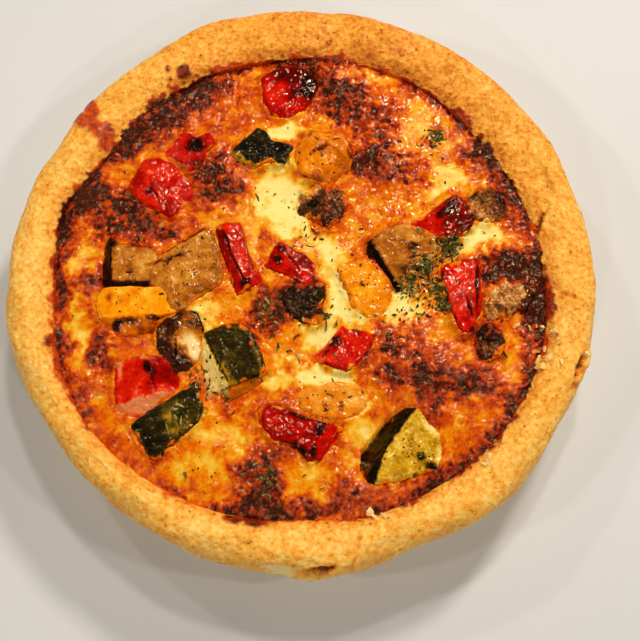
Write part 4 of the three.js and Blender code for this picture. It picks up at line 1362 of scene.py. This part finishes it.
# %% Pastry crumbs
CRUMBS = [
    (552, 328, 6, 7), (556, 344, 5, 6), (543, 358, 10, 16), (556, 364, 8, 4), (486, 462, 12, 5),
    (378, 520, 14, 8), (530, 330, 10, 5), (520, 512, 14, 4), (528, 293, 5, 2), (588, 352, 5, 3),
]
crumb_material = grain_finish("pastry_crumb", [
    (0.0, (236, 168, 78)), (0.4, (252, 206, 116)), (1.0, (255, 232, 168)),
], 0.6)


def crumb_size():
    return (0.3 + 1.6 * draw.random() ** 2) * np.array([1.0, 0.6, 0.22])


scatter("pastry_crumbs", around(CRUMBS), LEAF, LEAF_FACES, crumb_size, 0.7, "crust", crumb_material)

# %% [markdown]
# ## Floor and light
# The quiche stands on a plain pale floor under warm, soft studio light. One large lamp would
# be enough for the form, but oil shows by its glints, and each glint is a small lamp seen in
# a bead. So a stronger lamp at the upper right shapes the rim, six weaker ones stand round
# the table, and a dim warm room fills the shadows. A lamp's power goes with its area, so that
# all glints are equally bright. The standard view keeps colours as saturated as they are.

# %% Floor
FLOOR_CLOUDS, FLOOR_SIDE = 160, 8
floor_recipe = Recipe("pale_floor")
clouds = [(0.3, (212, 217, 230)), (0.7, (218, 223, 236))]
floor_tint = floor_recipe.ramp(floor_recipe.grain(FLOOR_CLOUDS, 2), clouds)
floor_recipe.finish(Base_Color=floor_tint, Roughness=0.7)
bpy.ops.mesh.primitive_plane_add(size=FLOOR_SIDE)
floor = bpy.context.object
floor.name = "floor"
floor.data.materials.append(floor_recipe.material)
floor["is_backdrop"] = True
print("floor:", FLOOR_SIDE, "m a side")


# %% Lamps and room
def lamp(name, place, share):
    """A round lamp that looks at the quiche, with its share of the power."""
    light = bpy.data.lights.new(name, "AREA")
    light.shape, light.size = "DISK", LAMP_SIZE * share**0.5
    light.energy, light.color = LAMP_POWER * share, linear(LAMP_TINT)
    holder = bpy.data.objects.new(name, light)
    holder.location = place
    holder.rotation_euler = (LOOK_AT - Vector(place)).to_track_quat("-Z", "Y").to_euler()
    bpy.context.scene.collection.objects.link(holder)


# Each lamp's place on the floor, in metres, and its share of the power
LAMPS = [
    (0.50, 0.80, 3.2), (-0.60, 0.65, 0.6), (-0.85, -0.25, 0.6), (0.10, 0.45, 0.8),
    (0.80, -0.15, 0.6), (-0.35, -0.95, 0.6), (0.45, -0.70, 0.5),
]
LAMP_HEIGHT, LAMP_SIZE, LAMP_POWER, LAMP_TINT = 0.95, 0.10, 3.08, (255, 242, 218)
LOOK_AT = Vector((0, 0, 0.03))
ROOM_TINT, ROOM_STRENGTH = (1, 0.86, 0.68, 1), 0.10
for number, (x, y, share) in enumerate(LAMPS):
    lamp(f"lamp_{number}", (x, y, LAMP_HEIGHT), share)
world = bpy.data.worlds.new("room")
world.use_nodes = True
background = world.node_tree.nodes["Background"]
background.inputs["Color"].default_value = ROOM_TINT
background.inputs["Strength"].default_value = ROOM_STRENGTH
bpy.context.scene.world = world
bpy.context.scene.view_settings.view_transform = "Standard"
bpy.context.scene.view_settings.look = "None"
print("lamps:", len(LAMPS))

# %% [markdown]
# ## Sizes
# The looks must not change the object's size. The box of the dressed model is measured, and
# its change from the box of the imported model is printed, in millimetres.

# %% Print the change of size, and finish
dressed_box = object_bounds()
change = (np.array(dressed_box) - np.array(cad_box)) / MM
print("size change, mm:", change.round(2).tolist())
